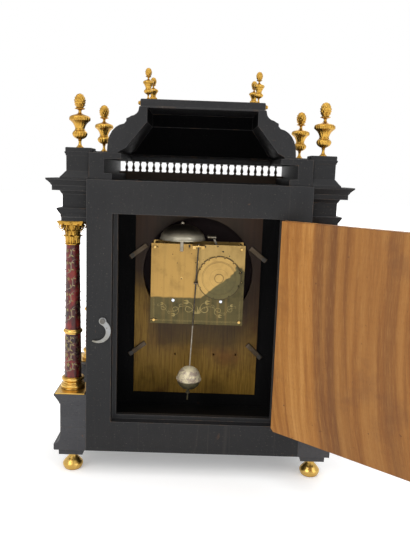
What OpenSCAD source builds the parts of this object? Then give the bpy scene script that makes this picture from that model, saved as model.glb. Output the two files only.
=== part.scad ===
// Ebonised table clock with four columns, a bell-shaped hood, a rear door and a brass movement.
// Frame: +Z up, the dial faces -Y, the rear door faces +Y, and the origin is on the surface
// that the clock stands on, under the middle of the case.

/* [Case] */
// Width of the case body
case_w = 300; // [280:1:340]
// Depth of the case body
case_d = 180; // [176:1:200]
// Height of the case body
case_h = 380; // [376:1:400]
// Thickness of the side boards
side_t = 16; // [12:1:20]
// Thickness of the floor and top boards
board_t = 14; // [10:1:18]
// Height of the turned feet
foot_h = 27; // [24:1:34]
// Widest diameter of a turned foot
foot_d = 29; // [26:0.5:33]
// Height of the square block over each foot
foot_block_h = 9.5; // [6:0.5:14]
// Width of the square block over each foot
foot_block_w = 34; // [30:1:38]

/* [Rear opening and door] */
// Width of the door opening
open_w = 231; // [210:1:236]
// Height of the opening's sill above the underside of the case
sill_h = 44.5; // [40:0.5:60]
// Height of the door opening
open_h = 291; // [280:1:296]
// Depth of the rebate that takes the door
rebate_d = 13; // [12:0.5:16]
// Thickness of the door stop behind the rebate
stop_t = 8; // [6:0.5:12]
// Width of the door stop round the opening
stop_w = 6; // [4:0.5:9]
// Thickness of the rear door
door_t = 12; // [10:0.5:12.5]
// Gap round the rear door
door_gap = 0.5; // [0.3:0.1:1]
// Angle at which the rear door stands open
door_open = 139; // [90:1:170]
// Distance of the rear hinge pins from the rear face
hinge_out = 3.2; // [3:0.1:4]
// Diameter of a rear hinge knuckle
knuckle_d = 5.4; // [4.6:0.1:5.6]
// Length of a rear hinge
hinge_l = 40; // [30:1:60]

/* [Base and columns] */
// Height of the moulded base course
base_h = 34.5; // [28:0.5:40]
// Projection of the base course beyond the case side
base_out = 45.5; // [44:0.5:52]
// Projection of a pedestal beyond the case side
pedestal_out = 36; // [34:0.5:40]
// Height of a pedestal over the base course
pedestal_h = 48; // [40:0.5:52]
// Depth of a pedestal
pedestal_d = 46; // [44:1:50]
// Projection of a pedestal's cap moulding
pedestal_cap = 9; // [6:0.5:11]
// Thickness of the gilt plate under a column
plate_t = 1.5; // [1:0.1:2.5]
// Width of that plate
plate_w = 40.4; // [38:0.2:42]
// Depth of that plate
plate_d = 46; // [44:0.5:48]
// Distance of the plates' and feet's middle from the case side
foot_out = 22.7; // [21:0.1:24]
// Height of a column's turned base
col_base_h = 16.5; // [15:0.5:20]
// Diameter of a column's turned base
col_base_d = 34; // [30:0.5:36]
// Lower diameter of a column shaft
shaft_d1 = 24; // [20:0.5:26]
// Upper diameter of a column shaft
shaft_d2 = 18.5; // [16:0.5:20]
// Height of a capital
capital_h = 33.5; // [30:0.5:36]
// Half width of a capital's abacus over its corners
capital_tip = 20; // [18.5:0.5:21]
// Distance of a rear column's axis from the case side
col_out = 24; // [21:0.1:26]
// Distance of a front column's axis from the case side
col_front_out = 20.6; // [20.4:0.1:24]
// Distance of the rear columns' axis from the rear plane
col_rear_in = 30; // [28:0.5:32]
// Distance of the front columns' axis from the front plane of the case, inwards
col_front_in = 12; // [10:0.5:16]

/* [Entablature] */
// Height of the entablature
ent_h = 57; // [50:1:62]
// Projection of the frieze beyond the case side
frieze_out = 34.5; // [32:0.5:38]
// Depth of the frieze block over a rear column
ent_block_d = 31; // [26:1:34]

/* [Attic and gallery] */
// Height of an attic pedestal
attic_h = 40.5; // [36:0.5:46]
// Width of an attic pedestal
attic_w = 30; // [26:1:34]
// Height of the gallery stage
gallery_h = 35; // [32:0.5:40]
// Thickness of the gallery's lower rail
gallery_rail = 8.5; // [7:0.5:10]
// Thickness of the gallery's upper plate
gallery_top = 8; // [6:0.5:10]
// Width of a gallery post
post_w = 19.7; // [16:0.5:22]
// Number of balusters in the front gallery
balusters = 23; // [11:1:25]
// Widest diameter of a baluster
baluster_d = 5; // [4:0.2:6]
// Distance of the balustrade from the front plane
balustrade_in = 20; // [16:0.5:24]

/* [Hood] */
// Half width of the hood at its foot
hood_foot = 124; // [118:1:130]
// Half width of the hood at its top
hood_head = 82.5; // [76:0.5:88]
// Height of the hood shell
hood_h = 60.5; // [54:0.5:66]
// Depth of the hood at its foot
hood_d = 140; // [130:1:144]
// Thickness of the board on top of the hood
hood_board_t = 9.5; // [8:0.5:12]
// Depth of the board on top of the hood
hood_board_d = 99; // [90:1:105]

/* [Finials] */
// Height of a corner finial
finial_h = 70.5; // [60:0.5:80]
// Height of a small finial on the hood
small_finial_h = 40; // [34:0.5:46]
// Distance of the small finials from the middle
small_finial_x = 72; // [64:1:76]

/* [Movement] */
// Height of the dial's centre above the underside of the case
dial_h = 236.5; // [234:0.5:240]
// Width of the movement plates
mov_w = 140; // [136:1:146]
// Height of the movement plates
mov_h = 122; // [118:1:126]
// Height of the plates above the dial's centre
mov_up = 51.5; // [50:0.5:54]
// Thickness of the movement plates
mov_t = 2.5; // [2:0.1:3]
// Gap between the movement plates
mov_gap = 42; // [41:0.5:44]
// Distance of the back plate's outer face behind the mask board
mov_back = 60.5; // [59:0.5:62]
// Diameter of the pillars
pillar_d = 6; // [5:0.5:8]
// Radius of the count wheel
count_r = 33; // [30:0.5:34]
// Tooth module of the trains
tooth_m = 1; // [0.95:0.01:1.05]
// Radius of the bell
bell_r = 34.5; // [30:0.5:36]
// Height of the bell
bell_hh = 23.5; // [21:0.5:28]

/* [Pendulum] */
// Distance from the suspension to the middle of the bob
pend_l = 200; // [190:1:206]
// Lean of the pendulum at rest
pend_lean = 2.4; // [0:0.1:4]
// Diameter of the bob
bob_d = 38.5; // [34:0.5:42]
// Diameter of the pendulum rod
rod_d = 2; // [1.6:0.1:2.4]

/* [Dial and front] */
// Half width of the mask board
mask_hw = 100; // [98:1:102]
// Thickness of the mask board
mask_t = 10; // [8:0.5:12]
// Radius of the mask board's round hole
mask_hole_r = 87; // [85:0.5:88]
// Lower edge of the mask board above the underside of the case
mask_low = 34; // [32:0.5:36]
// Upper edge of the mask board below the top of the case
mask_high = 38; // [36:0.5:40]
// Height of the upper clips above the dial's centre
clip_up = 24; // [22:0.5:26]
// Depth of the lower clips below the dial's centre
clip_down = 136; // [134:0.5:138]
// Distance of the mask board's rear face from the front plane
frame_in = 30; // [28:0.5:34]
// Thickness of the front frame
front_t = 14; // [12:0.5:16]
// Bare strip of the mask board below the dial's ground
ground_low = 40; // [36:0.5:44]
// Bare strip of the mask board above the dial's ground
ground_high = 5; // [4:0.5:8]
// Outer radius of the chapter ring
ring_r = 70; // [64:0.5:72]
// Inner radius of the chapter ring
ring_in_r = 54; // [53:0.5:56]
// Thickness of the front door
fdoor_t = 16; // [14:0.5:18]
// Half width of the front door's glass opening
sight_hw = 92; // [84:1:94]
// Width of the gilt moulding round the glass
sight_w = 5; // [3:0.5:7]

/* [Fits] */
// Running clearance of a pin in its hole, on the radius
run = 0.06; // [0.03:0.01:0.1]
// Gap between pieces that move past each other
gap = 0.4; // [0.3:0.1:0.8]

/* [Hidden] */
$fn = 48;

// Planes and levels
rear_y = case_d/2;
front_y = -case_d/2;
hw = case_w/2;
case_z = foot_h + foot_block_h;
case_top_z = case_z + case_h;
open_z = case_z + sill_h;
open_top = open_z + open_h;
ped_z = case_z + base_h;
ped_top = ped_z + pedestal_h;
colbase_z = ped_top + plate_t;
shaft_z = colbase_z + col_base_h;
ent_z = case_top_z - ent_h;
cap_z = ent_z - capital_h;
ring_z = shaft_z + (cap_z - shaft_z)*0.351;
col_x = hw + col_out;
col_front_x = hw + col_front_out;
col_rear_y = rear_y - col_rear_in;
foot_mid_x = hw + foot_out;
foot_mid_y = rear_y - pedestal_d/2;
col_front_y = front_y + col_front_in;
gal_z = case_top_z;
gal_top = gal_z + gallery_h;
attic_top = gal_z + attic_h;
hood_z = gal_top;
hood_top_z = hood_z + hood_h;
board_top_z = hood_top_z + hood_board_t;
dial_z = case_z + dial_h;
frame_y = front_y + frame_in;

// Edges of the moulded work: each pair is a projection and a height
base_step = base_out - pedestal_out;
base_edge = concat([[base_step, 0], [base_step, 8]],
    [for (a = [0:15:75]) [base_step*(1 - sin(a)), 9 + 15*(1 - cos(a))]],
    [[0, base_h - 10], [0, base_h]]);
pedestal_edge = [[0, 0], [0, pedestal_h - 14], [1.6, pedestal_h - 13], [1.6, pedestal_h - 11.5],
    [pedestal_cap - 2.4, pedestal_h - 4.5], [pedestal_cap - 1, pedestal_h - 3],
    [pedestal_cap, pedestal_h - 1.4], [pedestal_cap, pedestal_h]];
ent_edge = [[1.8, 0], [1.8, 5], [2.6, 5.6], [2.6, 9], [3.8, 10.5], [7.2, 15.8], [7.2, 17.5], [0, 17.5],
    [0, ent_h - 21], [1.2, ent_h - 20], [3.4, ent_h - 16.2], [12.4, ent_h - 16], [12.4, ent_h - 9.5],
    [13.4, ent_h - 8.8], [14.8, ent_h - 6.4], [17, ent_h - 4.2], [19.8, ent_h - 2], [19.8, ent_h]];
attic_lip = 2;
attic_edge = [[7.8, 0], [7.8, 1.8], [4.6, 5], [1.6, 8.6], [0, 10], [0, 29.4], [0.8, 30.2], [0.8, 31.4],
    [attic_lip, 33.2], [attic_lip, 35]];
cap_out = 1;

// A block with a moulded edge; the four numbers say how far each side projects, 0 for a plain one
module moulded(x0, x1, y0, y1, z0, edge, right, left, back, front) {
    h = edge[len(edge) - 1][1];
    function out(at, s, dir) = s == 0 ? [[at, 0], [at, h]] : [for (q = edge) [at + dir*s*q[0], q[1]]];
    function rev(v) = [for (i = [len(v) - 1:-1:0]) v[i]];
    reach = 60;
    translate([0, 0, z0]) intersection() {
        translate([0, y1 + reach, 0]) rotate([90, 0, 0])
            linear_extrude(y1 - y0 + 2*reach) polygon(concat(out(x1, right, 1), rev(out(x0, left, -1))));
        translate([x0 - reach, 0, 0]) rotate([90, 0, 90])
            linear_extrude(x1 - x0 + 2*reach) polygon(concat(out(y1, back, 1), rev(out(y0, front, -1))));
    }
}

module both_sides() {
    children();
    mirror([1, 0, 0]) children();
}

module at_columns() {
    both_sides() {
        translate([col_x, col_rear_y, 0]) children();
        translate([col_front_x, col_front_y, 0]) children();
    }
}

module at_pedestals() {
    both_sides() {
        translate([foot_mid_x, foot_mid_y, 0]) children();
        translate([foot_mid_x, col_front_y, 0]) children();
    }
}

// A rod along Y between two faces
module rod_y(x, z, y0, y1, r) {
    translate([x, y1, z]) rotate([90, 0, 0]) cylinder(h = y1 - y0, r = r);
}

// Case
module back_frame() {
    color("#26272b") difference() {
        translate([-hw, rear_y - rebate_d - stop_t, case_z]) cube([case_w, rebate_d + stop_t, case_h]);
        translate([-open_w/2, rear_y - rebate_d, open_z]) cube([open_w, rebate_d + 1, open_h]);
        translate([-open_w/2 + stop_w, rear_y - rebate_d - stop_t - 1, open_z + stop_w])
            cube([open_w - 2*stop_w, stop_t + 2, open_h - stop_w]);
    }
}

side_y1 = rear_y - rebate_d - stop_t;
side_y0 = frame_y - front_t;

module case_sides() {
    color("#1f2023") both_sides()
        translate([hw - side_t, side_y0, case_z]) cube([side_t, side_y1 - side_y0, case_h]);
}

sound_w = 190;
sound_d = 80;

module case_boards() {
    color("#1b1c1f") {
        translate([-hw + side_t, frame_y, case_z]) cube([case_w - 2*side_t, side_y1 - frame_y, board_t]);
        difference() {
            translate([-hw + side_t, frame_y, case_top_z - board_t])
                cube([case_w - 2*side_t, side_y1 - frame_y, board_t]);
            translate([-sound_w/2, -sound_d/2, case_top_z - board_t - 1])
                cube([sound_w, sound_d, board_t + 2]);
        }
    }
}

mask_z0 = case_z + mask_low;
mask_z1 = case_top_z - mask_high;
lip = 5;
clip_x = mask_hw + 4;
clip_zs = [dial_z + clip_up, dial_z - clip_down];
clip_screw_r = 2;

module front_frame() {
    color("#1f2023") difference() {
        translate([-hw + side_t, frame_y - front_t, case_z])
            cube([case_w - 2*side_t, front_t, case_h]);
        translate([-mask_hw - door_gap, frame_y - mask_t - gap, mask_z0 - door_gap])
            cube([2*(mask_hw + door_gap), mask_t + gap + 1, mask_z1 - mask_z0 + 2*door_gap]);
        translate([-mask_hw + lip, frame_y - front_t - 1, mask_z0 + lip])
            cube([2*(mask_hw - lip), front_t, mask_z1 - mask_z0 - 2*lip]);
        for (s = [-1, 1], z = clip_zs)
            rod_y(s*clip_x, z, frame_y - 9, frame_y + 1, clip_screw_r);
    }
}

panel_t = 18;

module base_front() {
    color("#232427") translate([-hw, side_y0 - panel_t, case_z]) difference() {
        cube([case_w, panel_t, ped_top - case_z]);
        translate([28, -1, base_h + 7]) cube([case_w - 56, 4, pedestal_h - 26]);
    }
}

ped_front_y0 = col_front_y - pedestal_d/2;

// The base course runs round both sides and the front, with a flush end at the rear
module base_course() {
    color("#222327") difference() {
        moulded(-hw - pedestal_out, hw + pedestal_out, ped_front_y0, rear_y, case_z, base_edge,
            1, 1, 0, 1);
        translate([-hw, side_y0 - panel_t, case_z - 1]) cube([case_w, case_d + 100, base_h + 2]);
    }
}

module foot_blocks() {
    color("#1f2023") at_pedestals() translate([-foot_block_w/2, -foot_block_w/2, foot_h])
        cube([foot_block_w, foot_block_w, foot_block_h]);
}

module bun_feet() {
    r = foot_d/2;
    neck = 5.2;
    color("#c79a35") at_pedestals() rotate_extrude() polygon(concat(
        [[0, 0], [r*0.8, 0]],
        [for (a = [-60:30:60]) [r*0.8 + 0.9*cos(a), 2 + 1.9*sin(a)]],
        [for (a = [-45:15:60]) [r - 5 + 5*cos(a), 6.6 + 3.4*sin(a)]],
        [for (a = [65:-13:0]) [neck + (r - 7.2)*(1 - cos(a))*0.98, 18.2 - 8.4*sin(a)]],
        [[neck, foot_h - 5], [neck + 0.8, foot_h - 3], [9, foot_h - 1.6], [9, foot_h], [0, foot_h]]));
}

module pedestals() {
    color("#232428") both_sides() {
        moulded(hw, hw + pedestal_out, rear_y - pedestal_d, rear_y, ped_z, pedestal_edge, 1, 0, 0, 1);
        moulded(hw, hw + pedestal_out, ped_front_y0, ped_front_y0 + pedestal_d, ped_z,
            pedestal_edge, 1, 0, 1, 1);
    }
}

module plinth_plates() {
    color("#c08a2e") at_pedestals() translate([-plate_w/2, -plate_d/2 - 1, ped_top])
        cube([plate_w, plate_d, plate_t]);
}

// Attic base of a column: torus, fillet, hollow and upper torus, straight on the plate
module column_bases() {
    r = col_base_d/2;
    h = col_base_h;
    color("#cf9c34") at_columns() translate([0, 0, colbase_z]) difference() {
        rotate_extrude() polygon(concat([[0, 0]],
            [for (a = [-90:22.5:90]) [r - 2.9 + 2.9*cos(a), 2.9 + 2.9*sin(a)]],
            [[r - 3.2, 7]], [for (a = [60:-20:-60]) [r - 1.6 - 3.6*cos(a), 8.9 - 1.9*sin(a)/0.87]],
            [for (a = [-60:30:90]) [r - 3.4 + 2.2*cos(a), h - 3.2 + 2.2*sin(a)]],
            [[r - 4, h - 0.9], [r - 4, h], [0, h]]));
        translate([0, 0, h - 3]) cylinder(h = 4, d = shaft_d1);
    }
}

function shaft_r(z) = (shaft_d1 + (shaft_d2 - shaft_d1)*(z - shaft_z)/(cap_z - shaft_z))/2;

module column_shafts() {
    color("#6e1a1c") at_columns() {
        translate([0, 0, shaft_z - 3]) cylinder(h = 3, d = shaft_d1);
        translate([0, 0, shaft_z]) cylinder(h = ring_z - 3.2 - shaft_z, r1 = shaft_r(shaft_z),
            r2 = shaft_r(ring_z - 3.2));
        translate([0, 0, ring_z - 3.2]) cylinder(h = 6.4, r = shaft_r(ring_z) - 1);
        translate([0, 0, ring_z + 3.2]) cylinder(h = cap_z - ring_z - 3.2, r1 = shaft_r(ring_z + 3.2),
            r2 = shaft_r(cap_z));
    }
}

module column_rings() {
    r = shaft_r(ring_z);
    color("#cf9c34") at_columns() translate([0, 0, ring_z]) rotate_extrude() polygon(concat(
        [[r - 1, -3.2], [r + 0.5, -3.2], [r + 0.5, -2.4]],
        [for (a = [-75:25:75]) [r + 0.6 + 1.9*cos(a), 2.2*sin(a)]],
        [[r + 0.5, 2.4], [r + 0.5, 3.2], [r - 1, 3.2]]));
}

// Corinthian capital: bell, two rings of leaves, corner scrolls and a hollow-sided abacus
module capital_leaf(r, h0, h1, reach, w) {
    rotate([90, 0, 0]) translate([0, 0, -w/2]) linear_extrude(w) polygon([[r - 1.5, h0],
        [r + 1.3, h0], [r + 2.1, h0 + (h1 - h0)*0.5], [r + 2.8, h1 - 3], [r + reach, h1 - 1.7],
        [r + reach + 0.5, h1 - 0.5], [r + reach - 0.6, h1], [r + 2.6, h1 - 0.9], [r - 1.5, h1 - 2.2]]);
}

module capitals() {
    r = shaft_d2/2;
    bell_top = capital_h - 6;
    tip = capital_tip - 1.4;
    color("#d3a13c") at_columns() translate([0, 0, cap_z]) {
        rotate_extrude() polygon([[0, 0], [r + 0.9, 0], [r + 1.5, 0.9], [r + 1.5, 1.9], [r + 0.6, 2.8],
            [r + 0.4, 10], [r + 0.8, 18], [r + 2.6, 24], [r + 4.4, bell_top], [0, bell_top]]);
        for (a = [0:45:315]) rotate(a) capital_leaf(r, 3.3, 12.5, 3.6, 5.2);
        for (a = [22.5:45:337.5]) rotate(a) capital_leaf(r, 8.7, 19.6, 4.4, 4.2);
        for (a = [45:90:315]) rotate(a) {
            translate([r + 6.2, 1.9, bell_top - 2.9]) rotate([90, 0, 0]) cylinder(h = 3.8, r = 3.3);
            rotate([90, 0, 0]) translate([0, 0, -1.5]) linear_extrude(3)
                polygon([[r - 1, 15.2], [r + 1.6, 17.4], [r + 7, bell_top - 2.4], [r + 7, bell_top + 1], [r - 1, bell_top + 1]]);
        }
        for (a = [0:90:270]) rotate(a) translate([r + 1.7, 0, bell_top + 3.1])
            rotate([0, 90, 0]) cylinder(h = 4.1, r = 2.3);
        translate([0, 0, bell_top - 0.5]) linear_extrude(3.6) abacus(tip - 1.1);
        translate([0, 0, bell_top + 3]) linear_extrude(capital_h - bell_top - 3) abacus(tip);
    }
}

// Square with hollow sides and cut corners
module abacus(half) {
    hollow = 3.4;
    rad = (half*half + hollow*hollow)/(2*hollow);
    difference() {
        square(2*half, center = true);
        for (a = [0:90:270]) rotate(a) {
            translate([half - hollow + rad, 0]) circle(r = rad);
            rotate(45) translate([half*sqrt(2) - 1.6, -5]) square(10);
        }
    }
}

// Entablature
ent_rear_y1 = rear_y - 14;
ent_front_y0 = col_front_y - 11.5;
ent_run_y0 = front_y + 4;

module side_entablatures() {
    color("#1c1d20") both_sides() {
        moulded(hw, hw + frieze_out, ent_rear_y1 - ent_block_d, ent_rear_y1, ent_z, ent_edge,
            1, 0, 0.62, 1);
        moulded(hw, hw + frieze_out, ent_front_y0, ent_front_y0 + ent_block_d, ent_z, ent_edge,
            1, 0, 1, 1);
        moulded(hw, hw + 6, ent_front_y0 + ent_block_d, ent_rear_y1 - ent_block_d, ent_z, ent_edge,
            1, 0, 0, 0);
    }
}

module front_entablature() {
    color("#1c1d20") intersection() {
        moulded(-hw, hw, ent_run_y0, side_y0, ent_z, ent_edge, 0, 0, 0, 1);
        translate([-hw, front_y - 60, ent_z - 1]) cube([case_w, 60 + case_d, ent_h + 2]);
    }
}

// Attic
attic_x0 = hw - 2.5;
attic_rear_y1 = rear_y - 6;
finial_in = attic_w/2 - 0.5;
attic_front_x0 = hw - 13;
attic_front_y0 = front_y + 10;
cap_slab = attic_h - gallery_h;
cap_in = 3.4;

module attic_cap(x0, x1, y0, y1) {
    moulded(x0 - cap_in, x1 + cap_out, y0 - cap_out, y1 + cap_out, gal_top, [[0, 0], [0, cap_slab - 0.8],
        [-0.6, cap_slab - 0.2], [-0.6, cap_slab]], 1, 1, 1, 1);
}

module attic_pedestals() {
    color("#202124") both_sides() {
        moulded(attic_x0, attic_x0 + attic_w, attic_rear_y1 - attic_w, attic_rear_y1, gal_z,
            attic_edge, 1, 0, 0.6, 1);
        attic_cap(attic_x0, attic_x0 + attic_w, attic_rear_y1 - attic_w, attic_rear_y1);
        moulded(attic_front_x0, attic_front_x0 + attic_w, attic_front_y0, attic_front_y0 + attic_w,
            gal_z, attic_edge, 1, 0, 0, 1);
        attic_cap(attic_front_x0, attic_front_x0 + attic_w, attic_front_y0, attic_front_y0 + attic_w);
    }
}

gal_x = attic_x0 - 0.2;
gal_y1 = rear_y - 2;
gal_y0 = attic_front_y0 + 1;
bal_y = front_y + balustrade_in;
gal_hole_x = 105;
bal_span = gal_x - post_w;

module gallery_frame() {
    rail_z = gal_z + gallery_rail;
    open_z1 = gal_top - gallery_top;
    color("#202124") difference() {
        union() {
            both_sides() {
                translate([bal_span - 10.5, gal_y0, gal_z])
                    cube([gal_x - bal_span + 10.5, gal_y1 - gal_y0, gallery_rail]);
                translate([gal_x - post_w, gal_y1 - 16, gal_z]) cube([post_w, 16, gallery_h]);
                translate([gal_x - post_w, gal_y0, rail_z]) cube([6.4, gal_y1 - gal_y0, open_z1 - rail_z]);
                translate([bal_span, gal_y0, rail_z]) cube([post_w, 16, open_z1 - rail_z]);
                translate([gal_hole_x, gal_y0, open_z1]) cube([gal_x - gal_hole_x - 3.6, gal_y1 - gal_y0, gallery_top]);
            }
            translate([-gal_hole_x, gal_y0, open_z1]) cube([2*gal_hole_x, 36, gallery_top]);
        }
        both_sides() translate([attic_front_x0 - 0.01, gal_y0 - 1, gal_z - 1])
            cube([60, attic_w + 3.6, gallery_h + 2]);
    }
}

module balustrade() {
    rail_z = gal_z;
    z1 = gal_top - gallery_top;
    foot = 12;
    h = z1 - rail_z - foot;
    r = baluster_d/2;
    pitch = 2*bal_span/(balusters + 1);
    color("#3a2a1c") {
        translate([-bal_span + 10.5, bal_y - 6, rail_z]) cube([2*(bal_span - 10.5), 12, foot]);
        both_sides() translate([bal_span - 10.5, bal_y - 6, rail_z + gallery_rail])
            cube([10.5, 12, foot - gallery_rail]);
        for (i = [1:balusters]) translate([-bal_span + i*pitch, bal_y, rail_z + foot])
            rotate_extrude($fn = 24) polygon([[0, 0], [r*0.86, 0], [r*0.86, h*0.08], [r*0.5, h*0.13],
                [r*0.8, h*0.22], [r, h*0.32], [r*0.9, h*0.44], [r*0.56, h*0.6], [r*0.4, h*0.74],
                [r*0.4, h*0.82], [r*0.78, h*0.88], [r*0.86, h*0.92], [r*0.86, h], [0, h]]);
    }
}

// Hood: the same edge runs up the sides and the front
hood_rear_y = rear_y - 3;
hood_run = hood_foot - hood_head;
hood_out = concat([[0, 0], [0.6, hood_h*0.14]],
    [for (a = [14:14:84]) [hood_run*0.58*(1 - cos(a)) + 0.6, hood_h*(0.14 + 0.49*sin(a))]],
    [[hood_run*0.6, hood_h*0.68], [hood_run*0.6, hood_h*0.735], [hood_run*0.7, hood_h*0.77]],
    [for (a = [10:20:90]) [hood_run*(0.7 + 0.29*sin(a)), hood_h*(0.79 + 0.17*(1 - cos(a)))]],
    [[hood_run, hood_h]]);
hood_in = [[15, 0], [15, 2], [23.5, 6], [52, 41], [52, hood_h - 1.5]];

module hood_form(edge, y1, foot_y) {
    n = len(edge);
    intersection() {
        translate([0, y1, hood_z]) rotate([90, 0, 0]) linear_extrude(hood_d + 40) polygon(concat(
            [for (q = edge) [hood_foot - q[0], q[1]]],
            [for (i = [n - 1:-1:0]) [edge[i][0] - hood_foot, edge[i][1]]]));
        translate([-hood_foot - 5, 0, hood_z]) rotate([90, 0, 90]) linear_extrude(2*hood_foot + 10)
            polygon(concat([[y1, 0]], [for (q = edge) [foot_y + q[0], q[1]]], [[y1, edge[n - 1][1]]]));
    }
}

module hood() {
    color("#1e1f22") difference() {
        hood_form(hood_out, hood_rear_y, hood_rear_y - hood_d);
        translate([0, 0, -0.01]) hood_form(hood_in, hood_rear_y + 1, hood_rear_y - hood_d);
    }
}

board_hw = hood_head - 1.5;
board_y1 = rear_y - 3;
board_y0 = board_y1 - hood_board_d;

module hood_top() {
    e = hood_board_t;
    color("#232427") moulded(-board_hw, board_hw, board_y0, board_y1, hood_top_z,
        [[-1.5, 0], [0, 1.2], [0, e - 1], [-1, e]], 1, 1, 0, 1);
}

module top_bosses() {
    color("#c79a35") both_sides() for (y = [board_y1 - 8, board_y0 + 8])
        translate([board_hw, y, hood_top_z + hood_board_t/2]) rotate([0, 90, 0])
            rotate_extrude() polygon([[0, 0], [4, 0], [4, 1], [3.4, 2.2], [2, 3.2], [0, 3.8]]);
}

// Turned finials: foot, stem, gadrooned vase, wide rim, collar and cone
module finial(h, vase, rim, head) {
    k = h/70.5;
    rotate_extrude() polygon(concat(
        [[0, 0], [4.9*k, 0], [4.9*k, 1*k], [3.4*k, 2.4*k], [2.2*k, 5*k], [1.9*k, 8.6*k], [3.4*k, 11*k]],
        [for (a = [-50:20:50]) [(vase - 5.6)*k + 5.6*k*cos(a), 17.6*k + 5*k*sin(a)]],
        [[6.8*k, 22.6*k], [6.6*k, 25*k], [7.6*k, 29*k], [9.6*k, 32.6*k], [rim*k, 35.6*k],
        [rim*k, 39.6*k], [(rim - 1.6)*k, 41.6*k], [6.4*k, 43.4*k], [2.8*k, 44.8*k], [2*k, 47.6*k],
        [3*k, 49.4*k], [6.4*k, 50*k], [6.4*k, 51.2*k], [3.8*k, 52.2*k]],
        [for (a = [-40:16:72]) [head*k*cos(a), 60*k + 9.4*k*sin(a)]],
        [[1.6*k, h - 0.8*k], [0, h]]));
}

module corner_finials() {
    color("#d0a03a") both_sides() {
        translate([attic_x0 + attic_w/2, attic_rear_y1 - attic_w/2, attic_top]) finial(finial_h, 10, 13.6, 7.6);
        translate([attic_front_x0 + attic_w/2, attic_front_y0 + attic_w/2, attic_top])
            finial(finial_h, 10, 13.6, 7.6);
    }
}

module top_finials() {
    color("#d0a03a") both_sides() for (y = [board_y1 - 10, board_y0 + 10])
        translate([small_finial_x, y, board_top_z]) finial(small_finial_h, 10.2, 12, 7.8);
}

// Rear door, hung on two butt hinges at the case's -X side, standing open
pin_x = -open_w/2 - 1;
pin_y = rear_y + hinge_out;
hinge_zs = [open_z + 42, open_top - 42 - hinge_l];
knuckle_n = 5;
knuckle_gap = 0.15;
hinge_pin_r = 1.2;
leaf_t = 1.2;
door_face = rear_y - rebate_d + door_gap + door_t;

module swung_door() {
    translate([pin_x, pin_y, 0]) rotate([0, 0, door_open]) translate([-pin_x, -pin_y, 0]) children();
}

module back_door() {
    x0 = -open_w/2 + door_gap;
    w = open_w - 2*door_gap;
    z0 = open_z + door_gap;
    h = open_h - 2*door_gap;
    y0 = rear_y - rebate_d + door_gap;
    color("#9a6234") swung_door() difference() {
        translate([x0, y0, z0]) cube([w, door_t, h]);
        translate([x0, y0 - 1, z0]) rotate([0, 45, 0]) cube([6, door_t + 2, 6], center = true);
        for (z = hinge_zs) translate([x0 - 1, y0 + door_t - leaf_t, z - 0.2])
            cube([17, leaf_t + 1, hinge_l + 0.4]);
        translate([-x0 - 9, y0 + door_t - 6, dial_z - 70]) cube([10, 3, 26]);
    }
}

// The knuckles of one half of a hinge, each joined to its own leaf's side
module knuckles(first, r, length, dir) {
    step = length/knuckle_n;
    for (i = [first:2:knuckle_n - 1]) translate([0, 0, i*step + (i > 0 ? knuckle_gap : 0)])
        difference() {
            union() {
                cylinder(h = step - 2*knuckle_gap, r = r);
                translate([dir > 0 ? 0 : -r, dir > 0 ? -r : -r - 1, 0])
                    cube([r, dir > 0 ? r : r + 1, step - 2*knuckle_gap]);
            }
            if (first == 1) translate([0, 0, -1]) cylinder(h = step + 2, r = hinge_pin_r + run);
        }
}

module back_hinges() {
    y0 = rear_y - pin_y;
    r = knuckle_d/2;
    step = hinge_l/knuckle_n;
    color("#8d7440") for (z = hinge_zs) translate([pin_x, pin_y, z]) {
        difference() {
            union() {
                knuckles(0, r, hinge_l, -1);
                translate([-18, y0, 0]) cube([18, leaf_t, hinge_l]);
            }
            translate([-20, y0 - 10, -1]) cube([40, 10, hinge_l + 2]);
            for (i = [1:2:knuckle_n - 1]) translate([-r - 0.3, -r - 2, i*step - knuckle_gap])
                cube([r + 1, r + 3, step + 2*knuckle_gap]);
        }
        cylinder(h = hinge_l, r = hinge_pin_r);
    }
}

module back_door_leaves() {
    leaf_y0 = door_face - leaf_t - pin_y;
    color("#8d7440") swung_door() for (z = hinge_zs) translate([pin_x, pin_y, z]) {
        step = hinge_l/knuckle_n;
        knuckles(1, knuckle_d/2, hinge_l, 1);
        translate([1.5, leaf_y0, 0]) cube([15.5, leaf_t, hinge_l]);
        for (i = [1:2:knuckle_n - 1]) translate([1.5, leaf_y0, i*step + knuckle_gap])
            cube([1.3, -leaf_y0, step - 2*knuckle_gap]);
    }
}

// Curved steel hook that turns over the closed door: a sickle on a round eye
hook_r = 17.2;
hook_w = 7.6;
hook_dx = 6;
hook_dz = 13.6;
hook_x = open_w/2 + hook_r - hook_dx + gap;
hook_z = dial_z - 47;
hook_t = 2;

module door_hook() {
    function inner(a) = hook_r - hook_w*(1 - 0.78*pow((a - 112)/187, 2));
    color("#b9bcc0") translate([hook_x, rear_y + 0.3 + hook_t, hook_z]) rotate([90, 0, 0])
        linear_extrude(hook_t) difference() {
            union() {
                circle(r = 5);
                translate([hook_dx, -hook_dz]) polygon(concat(
                    [for (a = [112:11:299]) hook_r*[cos(a), sin(a)]],
                    [for (a = [299:-11:112]) inner(a)*[cos(a), sin(a)]]));
            }
            circle(r = 2 + run);
        }
}

// Every fixed steel screw of the case and the movement
module screw_y(x, z, y0, y1, shank, head_r, head_h) {
    rod_y(x, z, y0, y1 + 0.1, shank);
    difference() {
        rod_y(x, z, y1, y1 + head_h, head_r);
        translate([x, y1 + head_h, z]) rotate([0, 30, 0]) cube([head_r*3, 1, 0.7], center = true);
    }
}

mov_rear = frame_y + mov_back;
mov_inner = mov_rear - mov_t;
mov_front_in = mov_inner - mov_gap;
mov_front = mov_front_in - mov_t;
clip_t = 3.4;
clip_y = frame_y + gap;
clip_l = 36;

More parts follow.
